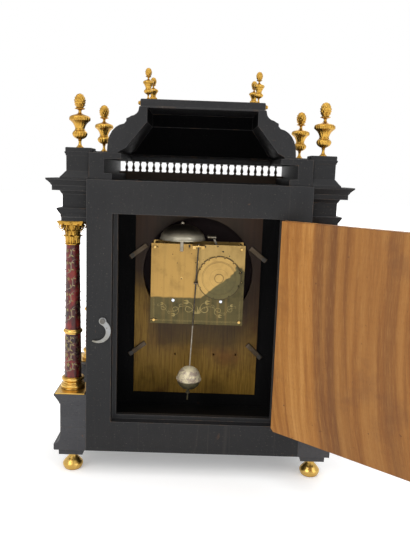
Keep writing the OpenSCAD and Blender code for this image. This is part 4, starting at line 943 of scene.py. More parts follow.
class ClockStage(bpy.types.PropertyGroup):
    floor_tone: FloatVectorProperty(
        name="Floor colour", description="Colour of the floor", subtype="COLOR",
        default=(0.9, 0.9, 0.9), min=0, max=1)
    floor_glow: FloatVectorProperty(
        name="Floor brightness",
        description="Brightness that the view adds to the floor beside the clock and far from it",
        size=2, default=(0.3, 1.0), min=0, max=1)
    sky_light: FloatProperty(
        name="Ambient light", description="Strength of the even light", default=0.62, min=0, max=2)


# Pieces of the case

def shade_inside(obj, mat):
    """Gives mat, a darker copy that paints shade, to the faces that look across at the piece's own far side,
    as the inside of a hood does.
    """
    mesh = obj.data
    tree = BVHTree.FromPolygons([v.co for v in mesh.vertices], [tuple(q.vertices) for q in mesh.polygons])
    mesh.materials.append(mat)
    rear = max(v.co.y for v in mesh.vertices)
    clear, rear_depth, reach = 0.0002, 0.02, 0.06
    for face in mesh.polygons:
        hit = tree.ray_cast(face.center + face.normal * clear, face.normal)
        looks_back = face.normal.y > 0.3 and face.center.y < rear - rear_depth
        if looks_back or hit[0] is not None and hit[3] > reach:
            face.material_index = 1


class CLOCK_OT_woodwork(bpy.types.Operator):
    """Eased and ebonised boards and mouldings of the case"""
    bl_idname = "clock.woodwork"
    bl_label = "Woodwork"

    def execute(self, context):
        width = context.scene.clock_case.edge_round / MM
        body = ebonised()
        lying = ebonised("ebonised_rails", 0.5, 0.5, (9, 60, 60), chips=0.25)
        # painted light: a lighter copy of the ebonised wood for the low woodwork, which takes more light,
        # with more chips and dust
        lit_base_wood = ebonised("ebonised_base_painted_light", 2.6, 0.42, (10, 60, 60), chips=0.9, dust=0.8, gloss=0.34)
        # painted shade: darker copies for the inside of the case and the inside of the hood
        inner = ebonised("ebonised_inside_painted_shade", 0.3, 0.68, chips=0.1, dust=0.2, gloss=0.12)
        deep = ebonised("ebonised_hood_painted_shade", 0.2, 0.8, chips=0.0, dust=0.1, gloss=0.03)
        for node in ("back_frame", "case_sides", "hood_top"):
            eased(node, width, body)
        for node in ("pedestals", "foot_blocks", "base_course", "base_front"):
            eased(node, width * 0.9, lit_base_wood)
        for node in ("side_entablatures", "front_entablature", "attic_pedestals", "gallery_frame"):
            eased(node, width * 0.8, lying)
        shade_inside(eased("hood", width * 0.8, body), deep)
        for node in ("case_boards", "front_frame"):
            eased(node, width, inner)
        return {"FINISHED"}


class CLOCK_OT_rear_door(bpy.types.Operator):
    """Walnut rear door"""
    bl_idname = "clock.rear_door"
    bl_label = "Rear door"

    def execute(self, context):
        eased("back_door", context.scene.clock_case.door_round / MM, walnut(), "back_door")
        return {"FINISHED"}


def foot_of(low, high):
    """The move to the middle of a box's underside."""
    c = middle(low, high)
    return Matrix.Translation((c.x, c.y, low.z))


def turned_copies(node, profile, around):
    """Lathe work at the four places of a node; the profile is fitted to the node's height and radius."""
    box = size_mm(*corners_of(node)[0])
    wide = box.x / 2 / max(r for r, z in profile)
    tall = box.z / (profile[-1][1] - profile[0][1])
    form = lathe([(r * wide, (z - profile[0][1]) * tall) for r, z in profile], around)
    return [moved(form, foot_of(low, high)) for low, high in corners_of(node)]


class CLOCK_OT_feet(bpy.types.Operator):
    """Turned gilt feet, column bases and rings"""
    bl_idname = "clock.feet"
    bl_label = "Turned mounts"

    def execute(self, context):
        foot = rounded([(0, 0), (0, 0), (11.2, 0), (11.2, 0), (12.6, 1.2), (13.6, 3.6), (14.5, 6.7),
                        (13.8, 9.3), (11.6, 12.2), (9.6, 14.6), (8.0, 16.2), (6.4, 18.4), (5.4, 20.6),
                        (5.6, 22.4), (6.9, 24), (9, 25), (9, 25), (9, 27), (9, 27), (0, 27)], 4)
        feet = turned_copies("bun_feet", foot, 56)
        cast("gilt_feet", feet, bright_gilt(), replaces=["bun_feet"], smooth=40)
        box = size_mm(*corners_of("column_bases")[0])
        w, h = box.x / 2, box.z
        base = rounded([(0, 0), (0, 0), (w - 1.7, 0), (w - 0.4, 1.0), (w, 2.9), (w - 0.4, 4.8),
                        (w - 1.7, 5.8), (w - 1.9, 5.9), (w - 1.9, 5.9), (w - 1.9, 6.9), (w - 1.9, 6.9),
                        (w - 3.2, 7.3), (w - 3.8, 8.9), (w - 3.2, 10.3), (w - 2.4, 10.9), (w - 2.4, 10.9),
                        (w - 1.5, 11.5), (w - 1.1, 13.3), (w - 1.5, 15.0), (w - 2.6, 15.6), (w - 4, 15.7),
                        (w - 4, 15.7), (w - 4, h), (w - 4, h), (0, h)], 4)
        cast("gilt_column_bases", turned_copies("column_bases", base, 64), bright_gilt(),
             replaces=["column_bases"], smooth=40)
        parts = [moved(ring_of(high.x - low.x, high.z - low.z), Matrix.Translation(middle(low, high)))
                 for low, high in corners_of("column_rings")]
        cast("gilt_column_rings", parts, bright_gilt(), replaces=["column_rings"], smooth=40)
        return {"FINISHED"}


def ring_of(width, height):
    """A round moulding with a small fillet above and below."""
    around, tube = 64, 14
    r = width / 2
    section = [(r - 0.0035, -height / 2), (r - 0.0018, -height / 2), (r - 0.0018, -height * 0.37)]
    for i in range(tube + 1):
        a = -1.3 + 2.6 * i / tube
        section.append((r - 0.0021 + 0.0021 * math.cos(a), height * 0.36 * math.sin(a)))
    section += [(r - 0.0018, height * 0.37), (r - 0.0018, height / 2), (r - 0.0035, height / 2)]
    return spun(section, around)


# Finials, drawn 70.5 mm high, and where their chased bands lie on that drawing

DRAWN_HEIGHT = 70.5
VASE, CUP, COLLAR = (11.5, 22.5), (24.5, 35.2), (49, 52)
RIM_TOP, HEAD_FOOT = 41, 52.5


def finial_form(h, vase, rim, head, gadroons, scales):
    """A turned and chased vase with leaves under its rim and a head of overlapping scales, in mm."""
    k = h / DRAWN_HEIGHT
    body = [(0, 0), (0, 0), (4.9, 0), (4.9, 0), (4.9, 0.9), (3.9, 1.9), (2.7, 3.4), (2.0, 5.6), (1.9, 8.4),
            (2.6, 9.6), (2.2, 10.4), (3.6, 11.4), (6.2, 12.6), (8.6, 14.6), (vase, 17.4), (vase - 0.3, 19.6),
            (8.1, 21.8), (6.9, 22.8), (6.9, 23.8), (6.3, 24.6), (6.5, 26.4), (7.4, 29.2), (9.2, 32.2),
            (rim - 1.6, 34.6), (rim - 0.3, 35.6), (rim, 37.2), (rim - 0.2, 39.0), (rim - 1.0, 40.4),
            (rim - 2.8, 41.6), (6.6, 43.0), (3.6, 44.2), (2.3, 45.6), (2.0, 47.4), (2.8, 49.0), (5.0, 49.7),
            (6.4, 50.4), (6.4, 51.0), (5.0, 51.9), (3.8, 52.4)]
    crown = []
    for i in range(19):
        a = math.radians(-48 + 136 * i / 18)
        crown.append((head * math.cos(a), 60 + (h / k - 60.4) * math.sin(a)))
    line = rounded(body, 3) + crown + [(0, h / k)]
    line = [(r * k, z * k) for r, z in line]
    crown_z = HEAD_FOOT * k

    def shape(a, z, r):
        u = z / k
        if VASE[0] < u < VASE[1]:
            lobe = abs(math.cos(gadroons / 2 * a))
            t = (u - VASE[0]) / (VASE[1] - VASE[0])
            return r * (1 - 0.13 * (1 - lobe) ** 1.4 * math.sin(math.pi * t))
        if CUP[0] < u < CUP[1]:
            t = (u - CUP[0]) / (CUP[1] - CUP[0])
            leaf = abs(math.sin(gadroons / 2 * a))
            vein = 0.03 * math.cos(gadroons * 2 * a) * t
            return r * (1 + 0.1 * math.sin(math.pi * t) * (leaf ** 0.6 - 0.6) + vein)
        if CUP[1] <= u < RIM_TOP:
            return r * (1 + 0.028 * math.cos(gadroons * 2 * a))
        if COLLAR[0] < u < COLLAR[1]:
            return r * (1 + 0.05 * math.cos(10 * a))
        if z > crown_z:
            t = (u - HEAD_FOOT) / (h / k - HEAD_FOOT)
            rows = 5.5
            row = math.floor(t * rows)
            f = t * rows - row
            twist = a + 0.5 * t
            lobe = abs(math.cos(scales / 2 * twist + (math.pi / 2 if row % 2 else 0)))
            return r * (0.86 + 0.2 * (0.3 + 0.7 * f) * lobe ** 0.7) + 0.25 * f * k
        return r

    fine = []
    for i in range(len(line) - 1):
        (r0, z0), (r1, z1) = line[i], line[i + 1]
        n = 4 if crown_z < z0 < h * 0.985 else (2 if 11 * k < z0 < RIM_TOP * k else 1)
        fine += [(r0 + (r1 - r0) * s / n, z0 + (z1 - z0) * s / n) for s in range(n)]
    fine.append(line[-1])
    return lathe(fine, 72, shape)


class CLOCK_OT_finials(bpy.types.Operator):
    """Chased gilt finials on the attic and the hood, and the bosses of the hood's board"""
    bl_idname = "clock.finials"
    bl_label = "Finials"

    def execute(self, context):
        s = context.scene.clock_mounts
        for node, name, vase, rim, head in (("corner_finials", "gilt_corner_finials", 10, 13.6, 7.4),
                                            ("top_finials", "gilt_top_finials", 10.2, 12, 7.6)):
            parts = []
            for i, (low, high) in enumerate(corners_of(node)):
                turn = foot_of(low, high) @ Matrix.Rotation(0.9 * i, 4, "Z")
                tall = size_mm(low, high).z
                parts.append(moved(finial_form(tall, vase, rim, head, s.gadroons, s.scales), turn))
            cast(name, parts, gilt(), replaces=[node], smooth=50)
        parts = []
        for low, high in corners_of("top_bosses"):
            side = 1 if low.x > 0 else -1
            c = middle(low, high)
            at = Vector((low.x if side > 0 else high.x, c.y, c.z))
            box = size_mm(low, high)
            h, r = box.x, box.z / 2
            profile = rounded([(0, 0), (0, 0), (r * 0.96, 0), (r, 0.5), (r * 0.8, 1.1), (r * 0.62, 1.3),
                               (r * 0.66, 1.8), (r * 0.5, h * 0.85), (r * 0.2, h), (0, h)], 4)
            form = lathe(profile, 40, lambda a, z, q: q * (1 - 0.14 * (1 - abs(math.cos(4 * a))) * (z < 1.4)))
            parts.append(moved(form, Matrix.Translation(at) @ Matrix.Rotation(side * math.pi / 2, 4, "Y")))
        cast("gilt_bosses", parts, gilt(), replaces=["top_bosses"], smooth=50)
        return {"FINISHED"}


# Capitals and shafts

def acanthus(radius, z0, height, width, curl):
    """One leaf of a capital, in mm: it stands against the bell, and its lobed tip curls out and down."""
    rows, cols, lobes, tip = 14, 8, 4, 0.3
    curl_from, curl_z = 0.68, z0 + height * 0.93
    centre = []
    for i in range(rows + 1):
        t = i / rows
        if t < curl_from:
            s = t / curl_from
            centre.append((radius + 0.5 + 0.9 * s * s, z0 + (curl_z - z0) * s))
        else:
            a = math.pi * 0.98 * (t - curl_from) / (1 - curl_from)
            centre.append((radius + 1.4 + curl * (1 - math.cos(a)) / 2 * 1.1,
                           curl_z + curl * 0.42 * math.sin(a)))
    verts, faces = [], []
    for i, (r, z) in enumerate(centre):
        t = i / rows
        w = width * (0.72 + 0.42 * math.sin(math.pi * min(1, t * 1.05)) - 0.3 * t ** 4)
        w *= 1 + 0.2 * math.cos(lobes * TAU * t) * (0.35 + 0.65 * t)
        if t > 0.9:
            w *= 1 - (t - 0.9) * (1 - tip) * 10
        for j in range(cols + 1):
            s = j / cols * 2 - 1
            rib = 0.55 * math.cos(3 * math.pi * s) * (0.5 + 0.5 * (1 - t)) - 1.1 * s * s
            y = s * w / 2
            rr = r + rib * 0.75
            ang = y / max(rr, 4)
            verts.append(Vector((rr * math.cos(ang), rr * math.sin(ang), z)))
    n = cols + 1
    for i in range(rows):
        for j in range(cols):
            faces.append((i * n + j, i * n + j + 1, (i + 1) * n + j + 1, (i + 1) * n + j))
    mesh = mesh_from("leaf", verts, faces)
    bm = bmesh.new()
    bm.from_mesh(mesh)
    bmesh.ops.recalc_face_normals(bm, faces=bm.faces)
    bmesh.ops.solidify(bm, geom=bm.faces, thickness=0.55)
    out = [v.co.copy() for v in bm.verts], [tuple(v.index for v in f.verts) for f in bm.faces]
    bm.free()
    bpy.data.meshes.remove(mesh)
    return out


def sweep(path, frames, section):
    """A closed tube: the section (x, y) set in each point's two side directions."""
    n = len(section)
    verts = []
    for p, (a, b, k) in zip(path, frames):
        verts += [p + a * x * k + b * y * k for x, y in section]
    ends = [tuple(range(n)), tuple((len(path) - 1) * n + k for k in reversed(range(n)))]
    return verts, quads(len(path), n, flip=True) + ends


def volute(r0, z0, r1, z1, size, thick):
    """A scroll that rises from the leaves and rolls up under the abacus, in the plane X-Z, in mm."""
    pts = [(r0 + (r1 - r0) * t - 1.2 * math.sin(math.pi * t), z0 + (z1 - z0) * t ** 0.8)
           for t in (i / 8 for i in range(8))]
    turns = 1.45
    cx, cz = r1, z1 - size
    for i in range(27):
        t = i / 26
        a = math.pi / 2 - TAU * turns * t
        r = size * (1 - t) ** 0.9 + 0.35
        pts.append((cx + r * math.cos(a), cz + r * math.sin(a)))
    path = [Vector((p[0], 0, p[1])) for p in pts]
    frames = []
    n = len(path)
    for i in range(n):
        d = (path[min(i + 1, n - 1)] - path[max(i - 1, 0)]).normalized()
        side = Vector((0, 1, 0)).cross(d)
        k = 0.75 + 0.25 * min(1, i / 8) if i < n - 10 else 1 - 0.55 * (i - n + 10) / 10
        frames.append((Vector((0, 1, 0)), side, k))
    section = [(-thick, -0.35), (thick, -0.35), (thick * 1.05, 0.3), (thick * 0.6, 0.55), (0, 0.3),
               (-thick * 0.6, 0.55), (-thick * 1.05, 0.3)]
    return sweep(path, frames, section)


def abacus_form(half, z0, z1, hollow):
    """Plate with hollow sides and cut corners, moulded in three steps, in mm."""
    ring = []
    for side in range(4):
        turn = side * math.pi / 2
        for i in range(13):
            s = i / 12 * 2 - 1
            y = s * (half - 1.1)
            x = half - hollow * (1 - s * s)
            ring.append((x * math.cos(turn) - y * math.sin(turn), x * math.sin(turn) + y * math.cos(turn)))
    n = len(ring)
    h = z1 - z0
    levels = [(z0, 0.9), (z0 + h * 0.3, 0.9), (z0 + h * 0.45, 0.955), (z0 + h * 0.62, 0.965),
              (z0 + h * 0.68, 1.0), (z1 - 0.4, 1.0), (z1, 0.985)]
    verts = []
    for z, k in levels:
        verts += [Vector((x * k, y * k, z)) for x, y in ring]
    faces = quads(len(levels), n)
    a, b = len(verts), len(verts) + 1
    verts += [Vector((0, 0, z0)), Vector((0, 0, z1))]
    top = (len(levels) - 1) * n
    for k in range(n):
        after = (k + 1) % n
        faces.append((a, after, k))
        faces.append((b, top + k, top + after))
    return verts, faces


def about_z(turns):
    """The turn about Z, given as a share of a whole turn."""
    return Matrix.Rotation(turns * TAU, 4, "Z")


def capital_form(half, h, neck):
    """A Corinthian capital, designed in mm: bell, two rows of leaves, scrolls, flowers and abacus."""
    bell_top = h - 5.6
    bell = rounded([(0, 0), (0, 0), (neck + 0.3, 0), (neck + 1.3, 0.6), (neck + 1.3, 1.5), (neck + 0.2, 2.2),
                    (neck - 0.9, 3.4), (neck - 1.0, 9), (neck - 0.6, 17), (neck + 1.2, 23),
                    (neck + 3.4, bell_top - 0.4), (neck + 3.6, bell_top), (0, bell_top)], 4)
    parts = [resized(lathe(bell, 40), 1 / MM)]
    low_leaf = acanthus(neck - 0.5, 2.2, 9.8, 6.0, 4.3)
    high_leaf = acanthus(neck - 0.7, 3.0, 16.6, 5.2, 4.7)
    for i in range(8):
        parts.append(moved(low_leaf, about_z(i / 8)))
        parts.append(moved(high_leaf, about_z((i + 0.5) / 8)))
    corner_scroll = volute(neck + 1.4, 14.5, neck + 7.4, bell_top + 0.6, 3.7, 1.25)
    middle_scroll = volute(neck + 1.2, 16.0, neck + 3.8, bell_top - 0.2, 2.3, 0.8)
    profile = rounded([(0, 0), (0, 0), (2.3, 0), (2.5, 0.8), (1.7, 1.4), (1.0, 1.5), (1.1, 2.2),
                       (0.6, 2.7), (0, 2.9)], 3)

    def petals(a, z, r):
        return r * (1 - 0.18 * (1 - abs(math.cos(2.5 * a))))

    flower = resized(lathe(profile, 30, petals), 1 / MM)
    facing_out = Matrix.Translation((half * 0.72, 0, h - 3.2)) @ Matrix.Rotation(math.pi / 2, 4, "Y")
    for i in range(4):
        for lean in (-0.17, 0.17):
            parts.append(moved(corner_scroll, about_z((i + 0.5) / 4 + lean / TAU)))
            parts.append(moved(middle_scroll, about_z(i / 4 + lean * 2.1 / TAU)))
        parts.append(moved(flower, about_z(i / 4) @ facing_out))
    parts.append(abacus_form(half, bell_top - 0.2, h, 3.4))
    return resized(joined(parts), MM)


class CLOCK_OT_capitals(bpy.types.Operator):
    """Gilt Corinthian capitals"""
    bl_idname = "clock.capitals"
    bl_label = "Capitals"

    def execute(self, context):
        parts = []
        for (low, high), (s_low, s_high) in zip(corners_of("capitals"), corners_of("column_shafts")):
            box = size_mm(low, high)
            neck = shaft_radius(s_high.z, s_low, s_high) / MM
            parts.append(moved(capital_form(box.x / 2, box.z, neck), foot_of(low, high)))
        cast("gilt_capitals", parts, gilt(), replaces=["capitals"], smooth=45, merge=False)
        return {"FINISHED"}


# A column's shaft: its radius at foot and head as in the solid, and the straight stretch at its foot

SHAFT_LOW, SHAFT_HIGH = 0.012, 0.00925
SHAFT_FOOT = 0.003


def shaft_radius(z, low, high):
    """Radius of a column's shaft at a height; above its foot the shaft tapers evenly to its capital."""
    t = (z - low.z - SHAFT_FOOT) / (high.z - low.z - SHAFT_FOOT)
    wide = (high.x - low.x) / 2
    return wide + (SHAFT_HIGH / SHAFT_LOW - 1) * wide * max(0.0, min(1.0, t))


def vine(z0, z1, rng, step):
    """Sweeping stems, curls and sprays on the unrolled shaft: strips as (path, widths), leaves as
    (across, up, turn, length), in mm. Four rows of stems go round the shaft."""
    rows, row_gap = 4, 17
    strips, leaves = [], []
    for row in range(rows):
        z = z0 + 3 + step * (row % 2) / 2
        while z < z1 - 7:
            s = row_gap * row - 7 + rng.uniform(-2, 2)
            rise, run = min(step * 0.9, z1 - 4 - z), rng.uniform(12, 15)
            half = bent(s, z, s + run * 0.5, z + rise * 0.5, -0.22, 7)
            stem = half[:-1] + bent(s + run * 0.5, z + rise * 0.5, s + run, z + rise, 0.22, 7)
            strips.append((stem, taper(len(stem), rng.uniform(1.5, 2.4), 0.16)))
            for end, hand, start in ((stem[0], -1, 0.3), (stem[-1], 1, 3.6)):
                coil = spiral(end[0] + 1.8 * hand, end[1], 1.9, start, 1.05, 0.2, 12, hand)
                strips.append((coil, taper(len(coil), 1.0, 0.35, 0.9)))
            for t, side in ((0.25, 1), (0.4, -1), (0.6, 1), (0.78, -1)):
                i = int(t * (len(stem) - 1))
                a = math.atan2(rise, run) + side * rng.uniform(0.9, 1.3)
                leaves.append((stem[i][0], stem[i][1], a, rng.uniform(3.6, 5.2)))
            at = (s + run * 0.5 - 6.5, z + rise * 0.72)
            for k in range(5):
                leaves.append((at[0], at[1], k * TAU / 5 + z, 3.0 if step > 15 else 3.8))
            z += step
    return strips, [q for q in leaves if z0 + 4.5 < q[1] < z1 - 4.5]


def leaf_pattern():
    """One small inlaid leaf of length 1, with a ridge along its middle."""
    return ribbon([(t, 0.03 * math.sin(6 * t)) for t in (0.0, 0.2, 0.45, 0.7, 0.88, 1.0)],
                  [0.06, 0.26, 0.36, 0.27, 0.14, 0.02], lambda u, v, h: Vector((u, v, h)), 0.045, 0.03, 0.3)


class CLOCK_OT_columns(bpy.types.Operator):
    """Red shell shafts with their inlaid vines"""
    bl_idname = "clock.columns"
    bl_label = "Columns"

    def execute(self, context):
        wear("column_shafts", red_shell())
        proud = context.scene.clock_mounts.inlay_proud
        pewter = metal("inlaid_pewter", (0.2, 0.15, 0.125), (0.07, 0.04, 0.035), 0.5, scale=120.0, spots=0.4)
        green = metal("inlaid_leaves", (0.25, 0.21, 0.105), (0.06, 0.055, 0.03), 0.5, scale=160.0)
        rng = random.Random(11)
        parts, places = [], []
        for (low, high), (r_low, r_high) in zip(corners_of("column_shafts"), corners_of("column_rings")):
            c = middle(low, high)
            mid_r = (high.x - low.x) / 2 * 0.9

            def place(u, v, h, c=c, low=low, high=high, mid_r=mid_r):
                a = u * MM / mid_r
                r = shaft_radius(v * MM, low, high) + h * MM
                return Vector((c.x + r * math.cos(a), c.y + r * math.sin(a), v * MM))

            for z0, z1, step in ((low.z + SHAFT_FOOT, r_low.z, 14.0), (r_high.z, high.z, 22.0)):
                strips, leaves = vine(z0 / MM, z1 / MM, rng, step)
                parts += [ribbon(q, w, place, proud / MM, 0.2) for q, w in strips]
                for u, v, turn, size in leaves:
                    a = u * MM / mid_r
                    out = Vector((math.cos(a), math.sin(a), 0))
                    round_way = Vector((-math.sin(a), math.cos(a), 0))
                    ahead = round_way * math.cos(turn) + Vector((0, 0, 1)) * math.sin(turn)
                    m = Matrix((ahead, out.cross(ahead), out)).transposed() * (size * MM)
                    places.append(Matrix.Translation(place(u, v, 0.03)) @ m.to_4x4())
        cast("column_vines", parts, pewter, smooth=30)
        put("column_leaves", repeated("column_leaves", leaf_pattern(), places, green), green, smooth=30)
        return {"FINISHED"}


def wear(node, mat):
    """Gives a carried-over node its finish."""
    slots = frame["nodes"][node].data.materials
    for k in range(len(slots)):
        slots[k] = mat
    if not slots:
        slots.append(mat)


# Movement

class CLOCK_OT_movement(bpy.types.Operator):
    """Finishes of the movement, its bell, its hands and the fittings of the case"""
    bl_idname = "clock.movement"
    bl_label = "Movement"

    def execute(self, context):
        brass = metal("train_brass", (0.56, 0.37, 0.13), (0.13, 0.08, 0.03), 0.32, recess=0.4,
                      brushed=(400, 400, 40))
        old = metal("hinge_brass", (0.4, 0.27, 0.1), (0.1, 0.062, 0.025), 0.42, recess=0.4)
        iron = metal("dark_iron", (0.13, 0.1, 0.073), (0.3, 0.24, 0.18), 0.42, scale=90.0, spots=0.7)
        blued = metal("blued_hands", (0.07, 0.09, 0.16), (0.03, 0.03, 0.04), 0.28)
        silver = metal("silvered_ring", (0.68, 0.6, 0.42), (0.2, 0.14, 0.08), 0.36, brushed=(300, 900, 300))
        rail = dark_wood("balustrade_wood", (0.02, 0.013, 0.009), (0.09, 0.05, 0.025), (8, 90, 90))
        finishes = {
            plate_brass(): ("back_plate",),
            brass: ("front_plate", "going_barrel", "strike_barrel", "going_second", "contrate_wheel",
                    "crown_wheel", "minute_wheel", "hour_wheel", "centre_arbor", "pillars", "cocks"),
            count_brass(): ("strike_second",),
            old: ("back_hinges", "back_door_leaves", "front_hinges"),
            iron: ("clip_upper_left", "clip_upper_right", "clip_lower_left", "clip_lower_right", "crutch"),
            steel("worn_steel", (0.3, 0.27, 0.22), 0.4, 0.5): ("bell_stand", "hammer"),
            blued: ("hour_hand", "minute_hand"),
            steel("worn_screws", (0.12, 0.115, 0.11), 0.45, 0.7): ("screws",),
            steel("hook_steel", (0.25, 0.255, 0.26), 0.42, 0.8, (150, 150, 150)): ("door_hook",),
            mask_paint(): ("mask_board",),
            rail: ("balustrade",),
            bright_gilt(): ("plinth_plates",),
            silver: ("chapter_ring",),
            velvet(): ("dial_ground",),
            glass(): ("front_glass",),
            ebonised(): ("front_door",),
            gilt(): ("door_mounts",),
            pendulum_metal(): ("pendulum",),
        }
        for mat, nodes in finishes.items():
            for node in nodes:
                wear(node, mat)
        return {"FINISHED"}


def scroll(x, z, radius, start, hand, wide, turns=1.25, leaves=3):
    """A volute with a spray of leaves where it springs: (path, widths), in mm."""
    coil = spiral(x, z, radius, start, turns, 0.13, 24, hand)
    out = [(coil, taper(len(coil), wide, 0.3, wide * 0.75))]
    if leaves:
        first = coil[0]
        out += leaf_fan(first[0], first[1], start - hand * 1.5, radius * 0.85, leaves, 1.5, 0.26)
    return out


def mirrored(strips, x=0.0):
    """The strips and their mirror image about the line at x."""
    return strips + [([(2 * x - p[0], p[1]) for p in path], widths) for path, widths in strips]


def line(x0, z0, x1, z1, wide):
    """A straight strip of even width, with one point halfway."""
    return [(x0, z0), (x0 + (x1 - x0) / 2, z0 + (z1 - z0) / 2), (x1, z1)], [wide] * 3


def relief(name, strips, y, way, proud, mat, body="case"):
    """Flat ornament on an upright face: the face is at y and looks towards way (1 rear, -1 front)."""
    def place(u, v, h):
        return Vector((u, y + way * h, v)) * MM
    parts = [ribbon(*strip, place, proud, proud * 0.6) for strip in strips]
    return cast(name, parts, mat, body, smooth=35)


def prism(points, y0, y1):
    """A closed flat piece with the outline (x, z) between two depths, in mm."""
    n = len(points)
    verts = [Vector((x, y, z)) * MM for y in (y0, y1) for x, z in points]
    faces = [tuple(range(n)), tuple(reversed(range(n, 2 * n)))]
    faces += [(i, (i + 1) % n, (i + 1) % n + n, i + n) for i in range(n)]
    return verts, faces


class CLOCK_OT_engraving(bpy.types.Operator):
    """Scrollwork and border engraved on the back plate, and the polished ends of the barrel arbors"""
    bl_idname = "clock.engraving"
    bl_label = "Engraving"

    def execute(self, context):
        plate_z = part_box("back_plate")[0].z / MM
        face = 0.5
        z = plate_z + 23
        strips = []
        for x, side, size in ((13, 1, 9.5), (33, -1, 7.5), (51, 1, 6.0)):
            strips += scroll(x, z + side * 1.5, size, 0.5 * math.pi * side, side, size * 0.1, 1.3, 4)
            strips.append((bent(x - size, z - side * 4, x + size * 1.3, z + side * 3.5, 0.2 * side, 12),
                           taper(13, size * 0.09, 0.25)))
            curl, start = size * 0.34, 2.6 * side
            strips += scroll(x + size * 1.2, z + side * 5.0, curl, start, -side, size * 0.07, 1.1, 0)
        strips = mirrored(strips)
        strips += leaf_fan(0, z - 6, math.pi / 2, 12, 7, 2.4, 0.12)
        edge, top, foot = 65.5, plate_z + 39.3, plate_z + 4.2
        for inset in (0.0, 1.4):
            x1, z0, z1 = edge - inset, foot + inset, top - inset
            strips += [line(-x1, z0, x1, z0, 0.28), line(-x1, z0, -x1, z1, 0.28), line(x1, z0, x1, z1, 0.28)]
        pale = metal("engraved_lines", (0.27, 0.215, 0.095), (0.12, 0.09, 0.04), 0.45, scale=200.0, spots=0.7)
        relief("plate_engraving", strips, face, 1, 0.06, pale)
        # painted shade: near-black discs stand for the shade inside the plate's holes
        dark = dark_wood("plate_holes", (0.006, 0.005, 0.004), (0.015, 0.012, 0.009), (300, 300, 300))
        spot = lathe([(0, -0.1), (1, -0.1), (1, 0.04), (0, 0.04)], 16)
        spots = [(24.4, -0.9, 0.9), (-29.2, 49.8, 0.8), (-36.9, 42, 1.2), (-65.7, 11.1, 1.3),
                 (38.1, 35.7, 0.7), (31.2, 22.7, 0.7), (10, 37.4, 0.6), (-3.0, 15.0, 0.9),
                 (-2.0, 4.0, 0.8), (3.5, 24.0, 0.8), (-46.5, 35.5, 0.9), (13.5, 49.0, 1.7),
                 (1.5, 49.5, 1.5), (-9.5, 48.5, 1.6)]
        dial_z = middle(*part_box("chapter_ring")).z / MM
        to_rear = Matrix.Rotation(-math.pi / 2, 4, "X")
        places = [Matrix.Translation(Vector((x, face, dial_z + up)) * MM) @ to_rear @ Matrix.Scale(size, 4)
                  for x, up, size in spots]
        put("plate_holes", repeated("plate_holes", spot, places, dark), dark, smooth=30)
        cap = rounded([(0, 0), (0, 0), (2.5, 0), (2.5, 0), (2.6, 0.5), (2.2, 0.9), (1.0, 1.05), (0, 1.1)], 3)
        blue = steel("polished_steel", (0.62, 0.66, 0.74), 0.26, 0.2)
        for node in ("going_barrel", "strike_barrel"):
            b_low, b_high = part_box(node)
            c = middle(b_low, b_high)
            turn = Matrix.Translation((c.x, b_high.y - 0.0004, c.z)) @ to_rear
            cast(node + "_arbor_end", [moved(lathe(cap, 28), turn)], blue, node, smooth=40)
        return {"FINISHED"}


NUMERALS = ("I", "II", "III", "IIII", "V", "VI", "VII", "VIII", "IX", "X", "XI", "XII")
STROKES = {"I": (2.3, [((0, 0), (0, 1), 1.35)]),
           "V": (4.3, [((-1.5, 1), (0, 0), 1.35), ((0, 0), (1.6, 1), 0.45)]),
           "X": (4.4, [((-1.5, 1), (1.5, 0), 1.35), ((-1.6, 0), (1.6, 1), 0.45)])}


